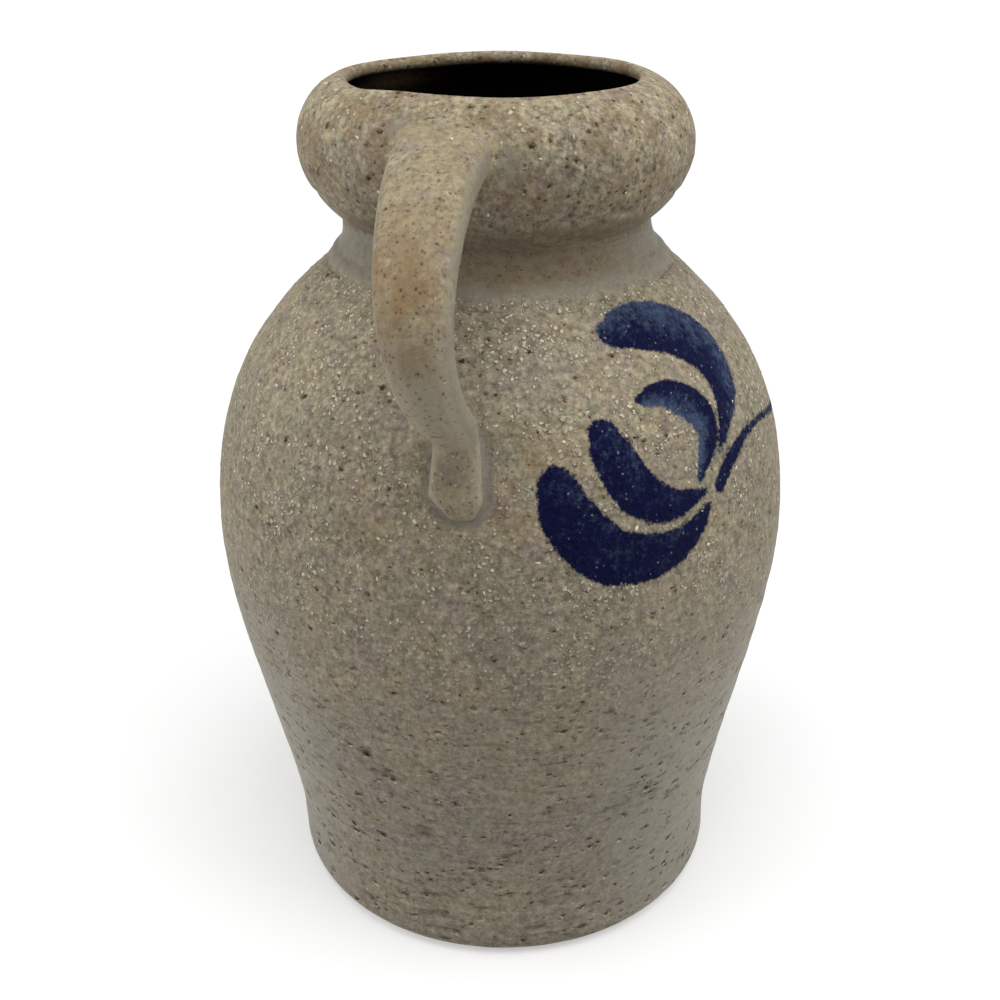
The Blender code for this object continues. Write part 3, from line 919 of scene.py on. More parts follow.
def grit_tree():
    """Scatters grains over a surface, half buried in it, as many as the surface's own cover says."""
    tree, nodes, inputs = geometry_tree("grit", {
        "Density": "NodeSocketFloat", "Grain Size": "NodeSocketFloat", "Seed": "NodeSocketInt",
        "Material": "NodeSocketMaterial"})
    place = nodes.add("GeometryNodeInputPosition")
    clumps = nodes.noise(place, 55, 3, 0.6).ramp(0.38, 0.68)
    density = inputs["Density"] * named(nodes, "grit") * (0.15 + 0.85 * clumps)
    seeds = nodes.add("GeometryNodeDistributePointsOnFaces", {"distribute_method": "RANDOM"},
                      {"Mesh": inputs["Geometry"], "Density": density, "Seed": inputs["Seed"]})
    size = random_between(nodes, 0.0, 1.0, inputs["Seed"], 1).math("POWER", 2.2)
    size = inputs["Grain Size"] * (0.55 + 0.80 * size)
    shape = nodes.add("ShaderNodeCombineXYZ", sockets={
        0: size * random_between(nodes, 0.90, 1.70, inputs["Seed"], 2),
        1: size * random_between(nodes, 0.55, 0.95, inputs["Seed"], 3),
        2: size * random_between(nodes, 0.25, 0.50, inputs["Seed"], 4)})
    chip = nodes.add("GeometryNodeMeshIcoSphere", sockets={"Radius": 0.5, "Subdivisions": 1})
    grains = nodes.add("GeometryNodeInstanceOnPoints",
                       sockets={"Points": seeds, "Instance": chip, "Rotation": seeds.other("Rotation"),
                                "Scale": shape})
    spin = nodes.add("ShaderNodeCombineXYZ",
                     sockets={0: 0.0, 1: 0.0, 2: random_between(nodes, 0.0, 2 * math.pi, inputs["Seed"], 5)})
    spun = nodes.add("GeometryNodeRotateInstances",
                     sockets={"Instances": grains, "Rotation": spin, "Local Space": True})
    loose = nodes.add("GeometryNodeRealizeInstances", sockets={0: spun})
    rough = nodes.add("ShaderNodeTexNoise", {"noise_dimensions": "3D"},
                      {"Vector": place, "Scale": 1500.0}, output="Color")
    centred = nodes.add("ShaderNodeVectorMath", {"operation": "SUBTRACT"}, {0: rough, 1: (0.5, 0.5, 0.5)})
    jolt = nodes.add("ShaderNodeVectorMath", {"operation": "SCALE"},
                     {0: centred, "Scale": inputs["Grain Size"] * 0.7})
    chipped = nodes.add("GeometryNodeSetPosition", sockets={"Geometry": loose, "Offset": jolt})
    smooth = nodes.add("GeometryNodeSetShadeSmooth", sockets={"Geometry": chipped})
    finish_tree(nodes, smooth, inputs["Material"])
    return tree


def random_between(nodes, low, high, seed, turn):
    """A random number. Sockets 2 and 3 are the node's limits for plain numbers."""
    return nodes.add("FunctionNodeRandomValue", {"data_type": "FLOAT"},
                     {2: low, 3: high, "Seed": seed + turn}, output=1)


# Brushwork: angle round the jug in degrees, height and half width of the brush in millimetres

TOP_PETAL = ((43, 216.5, 4.4), (51, 216.8, 7.8), (61, 214.0, 9.0), (68.8, 207.5, 9.4), (69.0, 198.0, 6.8),
             (65.0, 189.5, 3.4), (60, 182.0, 0.7))
INNER_PETAL = ((43.8, 200.6, 1.8), (50, 200.6, 4.2), (56, 196.2, 5.6), (58.2, 188.6, 4.6), (53, 177.0, 1.2))
MIDDLE_PETAL = ((33.4, 194.5, 4.4), (35.0, 188.0, 6.5), (38.4, 179.0, 6.9), (45.0, 173.0, 5.0),
                (54, 173.2, 0.9))
LOWER_PETAL = ((23.2, 183.0, 5.6), (25.4, 173.8, 8.0), (32.0, 162.6, 8.4), (42.0, 159.4, 6.5),
               (50, 163.2, 4.0), (54.5, 169.0, 0.8))
STEM = ((58.2, 173.2, 2.4), (62.6, 178.2, 2.5), (69.9, 182.2, 1.6), (79, 182.4, 1.2), (92, 178.8, 1.4),
        (105, 176.0, 2.0))
FLICK = ((31.0, 191.2, 0.45), (36.5, 191.6, 0.5), (41.3, 192.4, 0.3))
STALK = ((105, 176.0, 2.0), (107, 158.0, 2.4), (106, 138.0, 2.2), (103, 118.0, 1.4))
LEFT_LEAF = ((105.5, 138.0, 1.2), (101.5, 147.0, 4.4), (98.5, 156.0, 4.4), (97, 165.0, 1.0))
RIGHT_LEAF = ((106.5, 146.0, 1.2), (113, 153.0, 4.8), (121, 157.0, 4.4), (128, 156.0, 1.0))

# Each stroke with how dry the brush ran at its start and at its end: above 0 on the left of its run,
# and below 0 on the right
FLOWER = ((TOP_PETAL, 1.10, 0.40), (INNER_PETAL, -0.95, -1.20), (MIDDLE_PETAL, 0.35, 0.25),
          (LOWER_PETAL, 0.30, 0.10), (STEM, 0.05, 0.05))
SPRIG = ((FLICK, 0.05, 0.05), (STALK, 0.05, 0.05), (LEFT_LEAF, 0.3, 0.3), (RIGHT_LEAF, -0.3, -0.3))
FAR_FLOWER_TURN = 210
BRUSH_REACH = 9.0


def mirrored(stroke):
    """The same stroke turned over, for the flower on the far end of the spray."""
    return tuple((FAR_FLOWER_TURN - turn, height, half) for turn, height, half in stroke)


def all_strokes():
    far = tuple((mirrored(stroke), -start, -end) for stroke, start, end in FLOWER)
    return FLOWER + SPRIG + far


def smooth_run(stroke, samples=72):
    """Angle, height and half width at even steps along a smooth curve through a stroke's points."""
    knots = np.array(stroke, float)
    knots = np.vstack([2 * knots[0] - knots[1], knots, 2 * knots[-1] - knots[-2]])
    steps = np.linspace(0, len(stroke) - 1, samples)
    first = np.minimum(steps.astype(int), len(stroke) - 2)
    part = (steps - first)[:, None]
    a, b, c, d = (knots[first + shift] for shift in range(4))
    run = 0.5 * (2 * b + (c - a) * part + (2 * a - 5 * b + 4 * c - d) * part ** 2
                 + (3 * b - a - 3 * c + d) * part ** 3)
    run[:, 2] = np.maximum(run[:, 2], 0.2)
    return run


def on_wall(turns, heights):
    """Points on the outside of the body, from angles in degrees and heights in metres."""
    radius = wall_at(heights)[0]
    turns = np.radians(turns)
    return np.stack([radius * np.cos(turns), radius * np.sin(turns), heights], axis=1)


def paint(made, points):
    """Keeps on each point how far inside the brushwork it is, in millimetres, and how full the brush was."""
    inside = np.full(len(points), -BRUSH_REACH)
    pigment = np.ones(len(points))
    for stroke, dry_start, dry_end in all_strokes():
        run = smooth_run(stroke)
        centres = on_wall(run[:, 0], run[:, 1] * MILLIMETRE)
        halves = run[:, 2]
        tangents = np.gradient(centres, axis=0)
        out = centres * (1, 1, 0)
        left = np.cross(out, tangents)
        left /= np.linalg.norm(left, axis=1, keepdims=True)
        reach = (halves.max() + BRUSH_REACH) * MILLIMETRE
        close = (points > centres.min(0) - reach) & (points < centres.max(0) + reach)
        near = close.all(axis=1).nonzero()[0]
        offsets = points[near, None, :] - centres[None]
        depths = halves[None] - np.linalg.norm(offsets, axis=2) / MILLIMETRE
        best = depths.argmax(axis=1)
        row = np.arange(len(near))
        depth = depths[row, best]
        lateral = np.einsum("ij,ij->i", offsets[row, best], left[best]) / MILLIMETRE / halves[best]
        dry = np.linspace(dry_start, dry_end, len(run))[best]
        full = 1 - np.abs(dry) * np.clip(lateral * np.sign(dry) * 0.9 + 0.45, 0, 1)
        better = depth > inside[near]
        inside[near[better]] = depth[better]
        pigment[near[better]] = full[better]
    mark(made, "brush", inside)
    mark(made, "pigment", pigment)


# Strap handle

# Ridges and hollows pulled along the strap: height, then place and width as shares of the strap's half width
PULL_RIDGES = ((0.00055, 0.60, 0.13), (-0.00030, 0.30, 0.22), (0.00025, -0.20, 0.22), (-0.00020, -0.62, 0.16))


def strap_line():
    """Middle line of the strap in the half plane, its width and thickness, and where the tail starts."""
    size = strap()
    root = Vector((thrown().collar_radius - size.root_depth, size.root_height))
    grip = Vector((size.grip_reach, size.root_height - size.grip_drop))
    landing = seat(size.landing_height, size.landing_thickness / 2)
    tail = seat(size.landing_height - size.tail_length, 0.0)
    lean = Vector((-math.sin(size.landing_lean), -math.cos(size.landing_lean)))
    stretches = (curve(root, OUTWARD, grip, DOWN, (0.72, 0.46)),
                 curve(grip, DOWN, landing, lean, (0.58, 0.17)),
                 curve(landing, lean, tail, (tail - landing).normalized(), (0.30, 0.35)))
    sections = np.array(((size.root_width, size.root_thickness), (size.grip_width, size.grip_thickness),
                         (size.landing_width, size.landing_thickness),
                         (size.tail_width, 2 * size.tail_height)))
    rows = []
    for stretch, first, last in zip(stretches, sections, sections[1:]):
        share = np.linspace(0, 1, len(stretch))[:, None]
        rows.append(np.hstack([np.array(stretch), first * (1 - share) + last * share]))
    tail_start = sum(distance_along(np.array(stretch))[-1] for stretch in stretches[:2])
    return spaced(np.vstack([rows[0], rows[1][1:], rows[2][1:]]), 0.0007, 2), tail_start


def seat(height, proud):
    """A point at a height on the shoulder, moved out along the wall's normal."""
    radius, normal_out, normal_up = wall_at(height)
    return Vector((radius + normal_out * proud, height + normal_up * proud))


def strap_sections(sides=72):
    """Sections of the strap from the collar to its tail, with the distance along and the share across it."""
    size = strap()
    rows, tail_start = strap_line()
    line, widths, thick = rows[:, :2], rows[:, 2:3], rows[:, 3:]
    along = distance_along(line)
    share = (along / along[-1])[:, None]
    tangents = np.gradient(line, axis=0)
    tangents /= np.linalg.norm(tangents, axis=1, keepdims=True)
    turns = size.tail_skew * share
    radial = np.hstack([np.cos(turns), np.sin(turns), 0 * turns])
    lateral = np.hstack([-np.sin(turns), np.cos(turns), 0 * turns])
    up = np.array([0.0, 0.0, 1.0])
    face = radial * -tangents[:, 1:] + up * tangents[:, :1]
    middle = radial * line[:, :1] + up * line[:, 1:]
    middle[:, 1:2] -= thrown().collar_drift * np.clip(1 - share / 0.8, 0, 1)
    middle += lateral * size.sway * np.interp(share, (0, 0.4, 0.75, 1), (-0.7, -0.5, 1, -0.2))

    angles = np.arange(sides) * (2 * math.pi / sides)
    power = 2 / size.squareness
    across = np.sign(np.cos(angles)) * np.abs(np.cos(angles)) ** power
    deep = np.sign(np.sin(angles)) * np.abs(np.sin(angles)) ** power
    left = (across < 0)[None]
    to_end = (along[-1] - along)[:, None]
    pressed = np.clip((along[:, None] - tail_start) / size.tail_length, 0, 1)
    rounded = np.sqrt(np.clip(to_end / 0.0050, 0, 1))
    corner = np.clip(1 - to_end / 0.0066, 0, 1)
    half = widths / 2 * (0.60 + 0.40 * rounded) * np.where(left, 1 - 0.75 * corner, 1 - 0.10 * corner)
    depth = thick / 2 * (0.25 + 0.75 * rounded)

    pulled = sum(ridge * np.exp(-((across - place) / width) ** 2) for ridge, place, width in PULL_RIDGES)
    thumb = np.exp(-(across / 0.60) ** 4) * np.sin(np.pi * np.clip(1.15 * pressed - 0.10, 0, 1)) ** 1.5
    lift = pulled * np.clip(share / 0.12, 0, 1) * (1 - pressed) - size.thumb_depth * thumb
    lift = lift * np.clip(deep, 0, 1)
    sections = (middle[:, None] + lateral[:, None] * (half * across)[..., None]
                + face[:, None] * (depth * deep + lift)[..., None])
    return sections, along, across


# Soft patches on the clay: strength, angle in degrees, height, and their spread in angle and in height
WALL_FLASHES = ((1.0, 17, 0.182, 10, 0.013), (0.7, -14, 0.176, 9, 0.012), (1.6, 34, 0.0, 16, 0.004))
WALL_SCARS = ((1.0, 46, 0.066, 7, 0.009), (0.8, -25, 0.055, 6, 0.008), (0.8, 150, 0.062, 12, 0.010))
COLLAR_WIPES = ((1.0, 16.5, 0.2640, 4, 0.0045), (1.0, -13, 0.2725, 5, 0.0025))

BODY_SEGMENTS = 372
COLLAR_SEGMENTS = 400
SEAM_SEGMENTS = 360
FLOOR_FILLET = 0.010

# Parts of the body's mesh. A face between two of them belongs to the later one.
LINING, WALL, BASE = range(3)


def patches(turn, height, rows):
    return sum(strength * np.exp(-(((turn - at) / wide) ** 2 + ((height - up) / high) ** 2))
               for strength, at, up, wide, high in rows)


class JUG_OT_throw_body(bpy.types.Operator):
    """Throw the body, with its wheel marks, and paint the cobalt spray on it"""

    bl_idname = "jug.throw_body"
    bl_label = "Throw body"
    bl_options = {"REGISTER", "UNDO"}

    def execute(self, context):
        size = thrown()
        wall = spaced(wall_line(), 0.00112)
        inside = wall_line() - outward(wall_line()) * size.wall
        floor_corner = size.floor + FLOOR_FILLET
        climb = inside[inside[:, 1] > floor_corner]
        corner = Vector((climb[0, 0] - FLOOR_FILLET, floor_corner))
        fillet = np.array(arc(corner, FLOOR_FILLET, -math.pi / 2, 0))
        lining = spaced(np.vstack([[(0, size.floor)], fillet, climb]), 0.012)
        base = np.array([(share * (size.foot_radius - size.foot_edge), 0) for share in (0.8, 0.5, 0.2, 0)])
        outline = np.vstack([lining, wall[::-1], base])
        made = lofted("thrown_body", turned(outline, BODY_SEGMENTS), wrap=True, closed=False)

        part = np.repeat((LINING, WALL, BASE), (len(lining), len(wall), len(base)))
        from_top = np.concatenate([np.zeros(len(lining)), distance_along(wall[::-1]), np.zeros(len(base))])
        from_foot = np.concatenate([np.zeros(len(lining)), distance_along(wall)[::-1], np.zeros(len(base))])
        shown = np.clip(from_top / 0.004, 0, 1) * np.clip(from_foot / 0.003, 0, 1)
        mark(made, "part", np.tile(part, BODY_SEGMENTS))
        mark(made, "outside", np.tile(shown, BODY_SEGMENTS))
        sealed(made)
        self.dress(made)
        leave_wheel_marks(made, jug_clay("body_clay"), finish().ring_height, finish().lump_height,
                          finish().tear_depth)
        move_points(made, drifted(points_of(made)))
        self.line_and_bare(made)
        joined_to_jug(made, "body_clay", "body")
        return {"FINISHED"}

    def line_and_bare(self, made):
        """Puts the dark lining inside and leaves bare clay under the foot."""
        made.data.materials.append(lining_finish("dark_lining"))
        made.data.materials.append(bare_finish("bare_foot"))
        parts = np.ceil(face_means(made, marks(made, "part")) - 1e-4).astype(int)
        slots = np.select([parts == WALL, parts == LINING], [0, 1], 2)
        made.data.polygons.foreach_set("material_index", slots.astype(np.int32))

    def dress(self, made):
        """Keeps on the wall where it is painted, wiped, flashed, scarred, gritty and sunk round the tail."""
        points = points_of(made)
        outside = marks(made, "outside")
        turn = np.degrees(np.arctan2(points[:, 1], points[:, 0]))
        height = points[:, 2]
        paint(made, points)
        gap = tail_gap(points) / MILLIMETRE
        groove = np.exp(-((gap - 1.2) / 1.1) ** 2)
        round_tail = np.clip(1.6 - gap / 2.2, 0, 1) * (gap > -6)
        wiped = np.maximum(round_tail, np.clip((height - 0.2232) / 0.0010, 0, 1))
        flash = patches(turn, height, WALL_FLASHES) + 0.8 * np.exp(-(height / 0.0035) ** 2)
        rough = np.interp(height, (0.0, 0.03, 0.11, 0.15, 0.185, 0.208, 0.222, 0.2238),
                          (0.01, 0.02, 0.05, 0.25, 0.75, 1.1, 1.1, 0.0))
        mark(made, "sunk", 0.00042 * groove * outside)
        mark(made, "wiped", wiped * outside)
        mark(made, "scar", np.clip(1.4 * patches(turn, height, WALL_SCARS) - 0.2, 0, 1))
        mark(made, "flash", np.clip(flash, 0, 1.4))
        painted = np.clip(marks(made, "brush") + 1.0, 0, 1)
        mark(made, "grit", rough * (1 - np.clip(wiped, 0, 1)) * (1 - 0.9 * painted) * (outside > 0.9))


def drifted(points):
    """The wall's points moved as the foot and the collar sit off the axis."""
    size = thrown()
    low = np.clip(1 - points[:, 2] / 0.120, 0, 1) ** 2
    high = np.clip((points[:, 2] - size.seam_height) / (size.crease_height - size.seam_height), 0, 1)
    moved = points.copy()
    moved[:, 1] += size.foot_drift * low - size.collar_drift * high
    return moved


def wall_foot(points):
    """For each point, the nearest point on the outside of the body."""
    line = spaced(wall_line(), 0.0003)
    flat = np.stack([np.hypot(points[:, 0], points[:, 1]), points[:, 2]], axis=1)
    nearest = ((flat[:, None] - line[None]) ** 2).sum(axis=2).argmin(axis=1)
    scale = line[nearest, 0] / flat[:, 0]
    return np.stack([points[:, 0] * scale, points[:, 1] * scale, line[nearest, 1]], axis=1)


def tail_edge(above):
    """Outline of the tail on the wall: from above its landing down the left, round its end and up the right.

    The last column is how far the strap's side stands off the wall there.
    """
    sections, along, across = strap_sections()
    _, tail_start = strap_line()
    rows = along > tail_start - above
    left, right = sections[rows][:, across.argmin()], sections[rows][:, across.argmax()]
    sides = np.vstack([left, right[::-1]])
    feet = wall_foot(sides)
    return np.hstack([feet, np.linalg.norm(sides - feet, axis=1, keepdims=True)])


def tail_gap(points):
    """Distance from each point to the outline of the tail, counted as negative under it."""
    edge = tail_edge(0.002)[:, :3]
    near = (np.linalg.norm(points - edge.mean(axis=0), axis=1) < 0.05).nonzero()[0]
    gap = np.full(len(points), 0.05)
    close = spaced(edge, 0.0005)
    gap[near] = np.linalg.norm(points[near, None] - close[None], axis=2).min(axis=1)
    turns = np.arctan2(edge[:, 1], edge[:, 0])
    half = len(edge) // 2
    heights = edge[half:, 2]
    turn = np.arctan2(points[near, 1], points[near, 0])
    left = np.interp(points[near, 2], heights, turns[:half][::-1])
    right = np.interp(points[near, 2], heights, turns[half:])
    under = (turn > left) & (turn < right) & (points[near, 2] > heights[0]) & (points[near, 2] < heights[-1])
    gap[near[under]] *= -1
    return gap


class JUG_OT_throw_collar(bpy.types.Operator):
    """Throw the neck and the hollow collar"""

    bl_idname = "jug.throw_collar"
    bl_label = "Throw neck and collar"
    bl_options = {"REGISTER", "UNDO"}

    def execute(self, context):
        size = thrown()
        neck, bulb = neck_line(), bulb_line()
        skin = np.vstack([spaced(neck, 0.0008), spaced(bulb, 0.0008)[1:]])
        thin = np.linspace(size.wall, size.collar_wall, len(neck))[:, None]
        rise = (bulb[:, 1] - size.collar_height) / (size.lip_height - size.collar_height)
        thinner = np.interp(rise, (0, 1), (size.collar_wall, size.lip_wall))[:, None]
        hollow = np.vstack([neck - outward(neck) * thin, bulb - outward(bulb) * thinner])
        lip_angle = math.pi - size.lip_pitch
        centre = Vector((bulb[-1] + hollow[-1]) / 2)
        lip = np.array(arc(centre, size.lip_wall / 2, lip_angle + math.pi / 2, lip_angle - math.pi / 2, 13))
        hollow = spaced(hollow, 0.0028)
        outline = np.vstack([hollow[:-1], lip, skin[::-1][1:]])
        made = lofted("thrown_collar", turned(outline, COLLAR_SEGMENTS), wrap=True, closed=True)
        round_lip = distance_along(lip)[::-1]
        depth = np.concatenate([distance_along(hollow[::-1])[::-1][:-1] + round_lip[0], round_lip,
                                np.zeros(len(skin) - 1)])
        shown = np.concatenate([np.zeros(len(hollow) - 1), np.ones(len(lip) + len(skin) - 1)])
        shown[-5:] = np.linspace(0.8, 0, 5)
        mark(made, "depth", np.tile(depth / MILLIMETRE, COLLAR_SEGMENTS))
        mark(made, "outside", np.tile(shown, COLLAR_SEGMENTS))
        sealed(made)
        self.dress(made)
        leave_wheel_marks(made, collar_clay("collar_clay"), finish().ring_height * 0.9,
                          finish().lump_height * 1.1)
        move_points(made, self.uneven(drifted(points_of(made))))
        joined_to_jug(made, "collar_clay", "neck_and_collar")
        return {"FINISHED"}

    def uneven(self, points):
        """The lip dips and leans as a hand-wiped lip does."""
        size = thrown()
        turn = np.arctan2(points[:, 1], points[:, 0])
        rise = (points[:, 2] - size.collar_height) / (size.lip_height - size.collar_height)
        high = np.clip(rise, 0, 1) ** 2
        dip = 0.0001 * np.cos(turn - 2.6) + 0.0003 * np.cos(2 * turn + 0.8) + 0.00018 * np.cos(5 * turn + 2.1)
        dip -= 0.0010 * np.exp(-((turn + 0.75) / 0.26) ** 2)
        moved = points.copy()
        moved[:, 1] -= size.lip_drift * high
        moved[:, 2] += high * (dip - 0.0004)
        return moved

    def dress(self, made):
        """Keeps on the collar where it is wiped, where light is painted on the lining, sunk, flashed brown
        (with painted shade inside the lip) and gritty.
        """
        points = points_of(made)
        height = points[:, 2]
        depth = marks(made, "depth")
        turn = np.degrees(np.arctan2(points[:, 1], points[:, 0]))
        soft = np.exp(-((height - 0.2475) / 0.0009) ** 2) * (depth < 0.5)
        # A brown band inside the lip, all round and more at the back: partly flame flash, partly painted
        # shade going into the mouth
        back = np.exp(-((np.abs(turn) - 180) / 70) ** 2)
        flash = back * np.clip(depth / 3, 0, 1) + 0.5 * np.exp(-((depth - 2.5) / 2.0) ** 2)
        rough = np.interp(height, (0.2385, 0.246, 0.255, 0.27, 0.277, 0.281),
                          (0.0, 0.0, 0.30, 0.55, 0.5, 0.2))
        wiped = patches(turn, height, COLLAR_WIPES)
        # Painted light: a patch on the inner wall towards -127 degrees where the lining is lightened as if
        # lit
        thin = np.exp(-((turn + 127) / 13) ** 2) * np.interp(depth, (6.5, 8, 15, 19), (0, 1, 1, 0))
        mark(made, "wiped", np.clip(wiped, 0, 1) * (depth < 0.5))
        # The thin mark holds that painted patch of light on the lining
        mark(made, "thin", thin)
        mark(made, "sunk", 0.00065 * soft)
        mark(made, "flash", np.clip(flash, 0, 1))
        mark(made, "grit", rough * (depth < 0.5))


class JUG_OT_lute_seam(bpy.types.Operator):
    """Wipe the ring of slip over the seam between shoulder and neck"""

    bl_idname = "jug.lute_seam"
    bl_label = "Lute neck to shoulder"
    bl_options = {"REGISTER", "UNDO"}

    def execute(self, context):
        joined = np.vstack([wall_line(), neck_line()[1:]])
        along = distance_along(joined)
        seam = distance_along(wall_line())[-1]
        band = spaced(joined[along > seam - 0.0030], 0.0005)
        up = distance_along(band)
        proud = np.interp(up, (0, 0.0015, 0.0035, 0.0055, 0.0070, 0.0090, up[-1] - 0.002, up[-1]),
                          (-0.0004, 0.00012, 0.0004, 0.0009, 0.0008, 0.0003, 0.0003, -0.0002))
        skin = band + outward(band) * proud[:, None]
        under = band[::4] - outward(band[::4]) * 0.0012
        outline = np.vstack([skin, under[::-1]])
        made = lofted("seam_slip", turned(outline, SEAM_SEGMENTS), wrap=True, closed=True)
        lap = np.concatenate([np.interp(up, (0.0020, 0.0055), (0, 1)), np.zeros(len(under))])
        mark(made, "lap", np.tile(lap, SEAM_SEGMENTS))
        sealed(made)
        points = points_of(made)
        turn = np.arctan2(points[:, 1], points[:, 0])
        points[:, 2] += 0.0004 * np.sin(3 * turn + 1) + 0.00025 * np.sin(7 * turn)
        move_points(made, drifted(points))
        made.data.materials.append(slip_finish("wiped_slip", finish().slip))
        joined_to_jug(made, "joint_slip", "collar_seam_slip")
        return {"FINISHED"}


class JUG_OT_pull_strap(bpy.types.Operator):
    """Pull the strap handle from the collar to its pressed tail"""

    bl_idname = "jug.pull_strap"
    bl_label = "Pull strap"
    bl_options = {"REGISTER", "UNDO"}

    def execute(self, context):
        sections, along, across = strap_sections()
        made = lofted("pulled_strap", sections)
        mark(made, "along", np.repeat(along / along[-1], len(across)))
        mark(made, "across", np.tile(across, len(along)))
        mark(made, "outside", np.full(len(made.data.vertices), 1.0))
        mark(made, "sunk", np.zeros(len(made.data.vertices)))
        mark(made, "grit", np.full(len(made.data.vertices), 0.10))
        sealed(made)
        leave_wheel_marks(made, strap_clay("strap_clay"), 0.0, finish().strap_lumps)
        joined_to_jug(made, "handle_clay", "strap_handle")
        return {"FINISHED"}


class JUG_OT_lute_strap(bpy.types.Operator):
    """Work the slip into the strap's root and round its tail"""

    bl_idname = "jug.lute_strap"
    bl_label = "Lute strap"
    bl_options = {"REGISTER", "UNDO"}

    def execute(self, context):
        root = self.root_fillet()
        root.data.materials.append(strap_clay("root_slip_clay"))
        joined_to_jug(root, "joint_slip", "handle_root_slip")
        tail = self.tail_film()
        tail.data.materials.append(slip_finish("tail_slip_clay", finish().damp))
        joined_to_jug(tail, "joint_slip", "handle_tail_slip")
        return {"FINISHED"}

    def root_fillet(self):
        """A hollow fillet between the strap and the collar, widest over the top of the strap."""
        sections, _, across = strap_sections()
        collar = BVHTree.FromObject(bpy.data.objects["thrown_collar"], bpy.context.evaluated_depsgraph_get())
        rings = []
        for side in range(len(across)):
            reach = 0.0020 + 0.0024 * max(0, math.sin(2 * math.pi * side / len(across)))
            run = sections[:70, side]
            crossing, normal = self.where_it_leaves(run, collar)
            start = int(np.linalg.norm(run - crossing, axis=1).argmin())
            away = np.linalg.norm(run[start:] - crossing, axis=1)
            upper = Vector(run[start + int((away < reach).sum())])
            crossing, middle = Vector(crossing), Vector(sections[start].mean(axis=0))
            inward = (middle - crossing).normalized()
            spread = crossing - middle
            spread = (spread - spread.dot(normal) * normal).normalized()
            foot, foot_normal, _, _ = collar.find_nearest(crossing + spread * reach)
            upper = upper + inward * 0.0002
            foot = foot - foot_normal * 0.0002
            bend = crossing * 0.85 + (upper + foot) * 0.075
            shares = np.linspace(0, 1, 9)
            arch = [(1 - t) ** 2 * upper + 2 * t * (1 - t) * bend + t * t * foot for t in shares]
            rings.append([*arch, crossing + inward * 0.0012 - normal * 0.0012])
        made = lofted("root_slip", np.array(rings), wrap=True, closed=True)
        mark(made, "along", np.full(len(made.data.vertices), 0.06))
        mark(made, "across", np.zeros(len(made.data.vertices)))
        return sealed(made)

    @staticmethod
    def where_it_leaves(run, collar):
        """The first point of a run that lies outside the collar, and the collar's normal there."""
        for point in run:
            nearest, normal, _, _ = collar.find_nearest(Vector(point))
            proud = (Vector(point) - nearest).dot(normal)
            if proud > 0 and math.hypot(point[0], point[1]) > thrown().lip_radius:
                return np.array(nearest), normal
        raise RuntimeError("the strap never leaves the collar")

    def tail_film(self):
        """Slip wiped round the tail: a film on the wall, and a fillet up the strap's sides where it lands."""
        edge = spaced(tail_edge(0.010), 0.0006, 3)
        body = BVHTree.FromObject(bpy.data.objects["thrown_body"], bpy.context.evaluated_depsgraph_get())
        tangents = np.gradient(edge[:, :3], axis=0)
        window = np.ones(9) / 9
        tangents = np.stack([np.convolve(column, window, mode="same") for column in tangents.T], axis=1)
        place = np.linspace(0, 1, len(edge))
        reach = np.interp(place, (0, 0.12, 0.30, 0.46, 0.56, 0.70, 0.90, 1),
                          (0.0003, 0.0012, 0.0020, 0.0030, 0.0034, 0.0036, 0.0036, 0.0003))
        climb = edge[:, 3] * np.interp(place, (0, 0.15, 0.85, 1), (0.05, 0.7, 0.9, 0.05))
        rings = []
        for point, tangent, away, rise in zip(edge[:, :3], tangents, reach, climb):
            normal = Vector((point[0], point[1], 0.3 * math.hypot(point[0], point[1]))).normalized()
            side = Vector(tangent).cross(normal).normalized()
            profile = ((-0.0010, rise + 0.0004), (0.0, 0.66 * rise + 0.00025),
                       (0.15 * away, 0.36 * rise + 0.00013), (0.35 * away, 0.15 * rise + 0.00009),
                       (0.6 * away, 0.04 * rise + 0.00008), (0.85 * away, 0.00006), (away, 0.0),
                       (away + 0.0008, -0.00035), (0.6 * away, -0.0010), (0.0, -0.0010), (-0.0010, -0.0008))
            ring = []
            for shift, lift in profile:
                spot, spot_normal, _, _ = body.find_nearest(Vector(point) + side * shift)
                ring.append(spot + spot_normal * lift)
            rings.append(ring)
        made = lofted("tail_slip", np.array(rings))
        mark(made, "lap", np.tile((1, 1, 1, 1, 0.9, 0.5, 0.1, 0, 0, 1, 1), len(rings)))
        return sealed(made)


class JUG_OT_scatter_grit(bpy.types.Operator):
    """Scatter the grains that stand out of the clay"""

    bl_idname = "jug.scatter_grit"
    bl_label = "Scatter grit"
    bl_options = {"REGISTER", "UNDO"}

    def execute(self, context):
        tree = grit_tree()
        material = grit_finish("grit_grains")
        for turn, (name, slot) in enumerate((("thrown_body", "body_clay"), ("thrown_collar", "collar_clay"),
                                             ("pulled_strap", "handle_clay"))):
            source = bpy.data.objects[name]
            grains = bpy.data.objects.new(name.split("_")[1] + "_grit", source.data.copy())
            context.scene.collection.objects.link(grains)
            node_modifier(grains, tree, {"Density": finish().grit_density, "Grain Size": finish().grit_size,
                                         "Seed": finish().seed + 10 * turn, "Material": material})
            settled(grains)
            joined_to_jug(grains, slot)
        return {"FINISHED"}


# Softboxes: how far each is turned from the camera's azimuth and how far it climbs, in degrees
TOP_SOFTBOX = (16, 78)
LEFT_SOFTBOX = (-80, 16)
RIGHT_SOFTBOX = (76, 20)
SOFTBOX_DISTANCE = 1.1
SOFTBOX_SIDE = 1.0


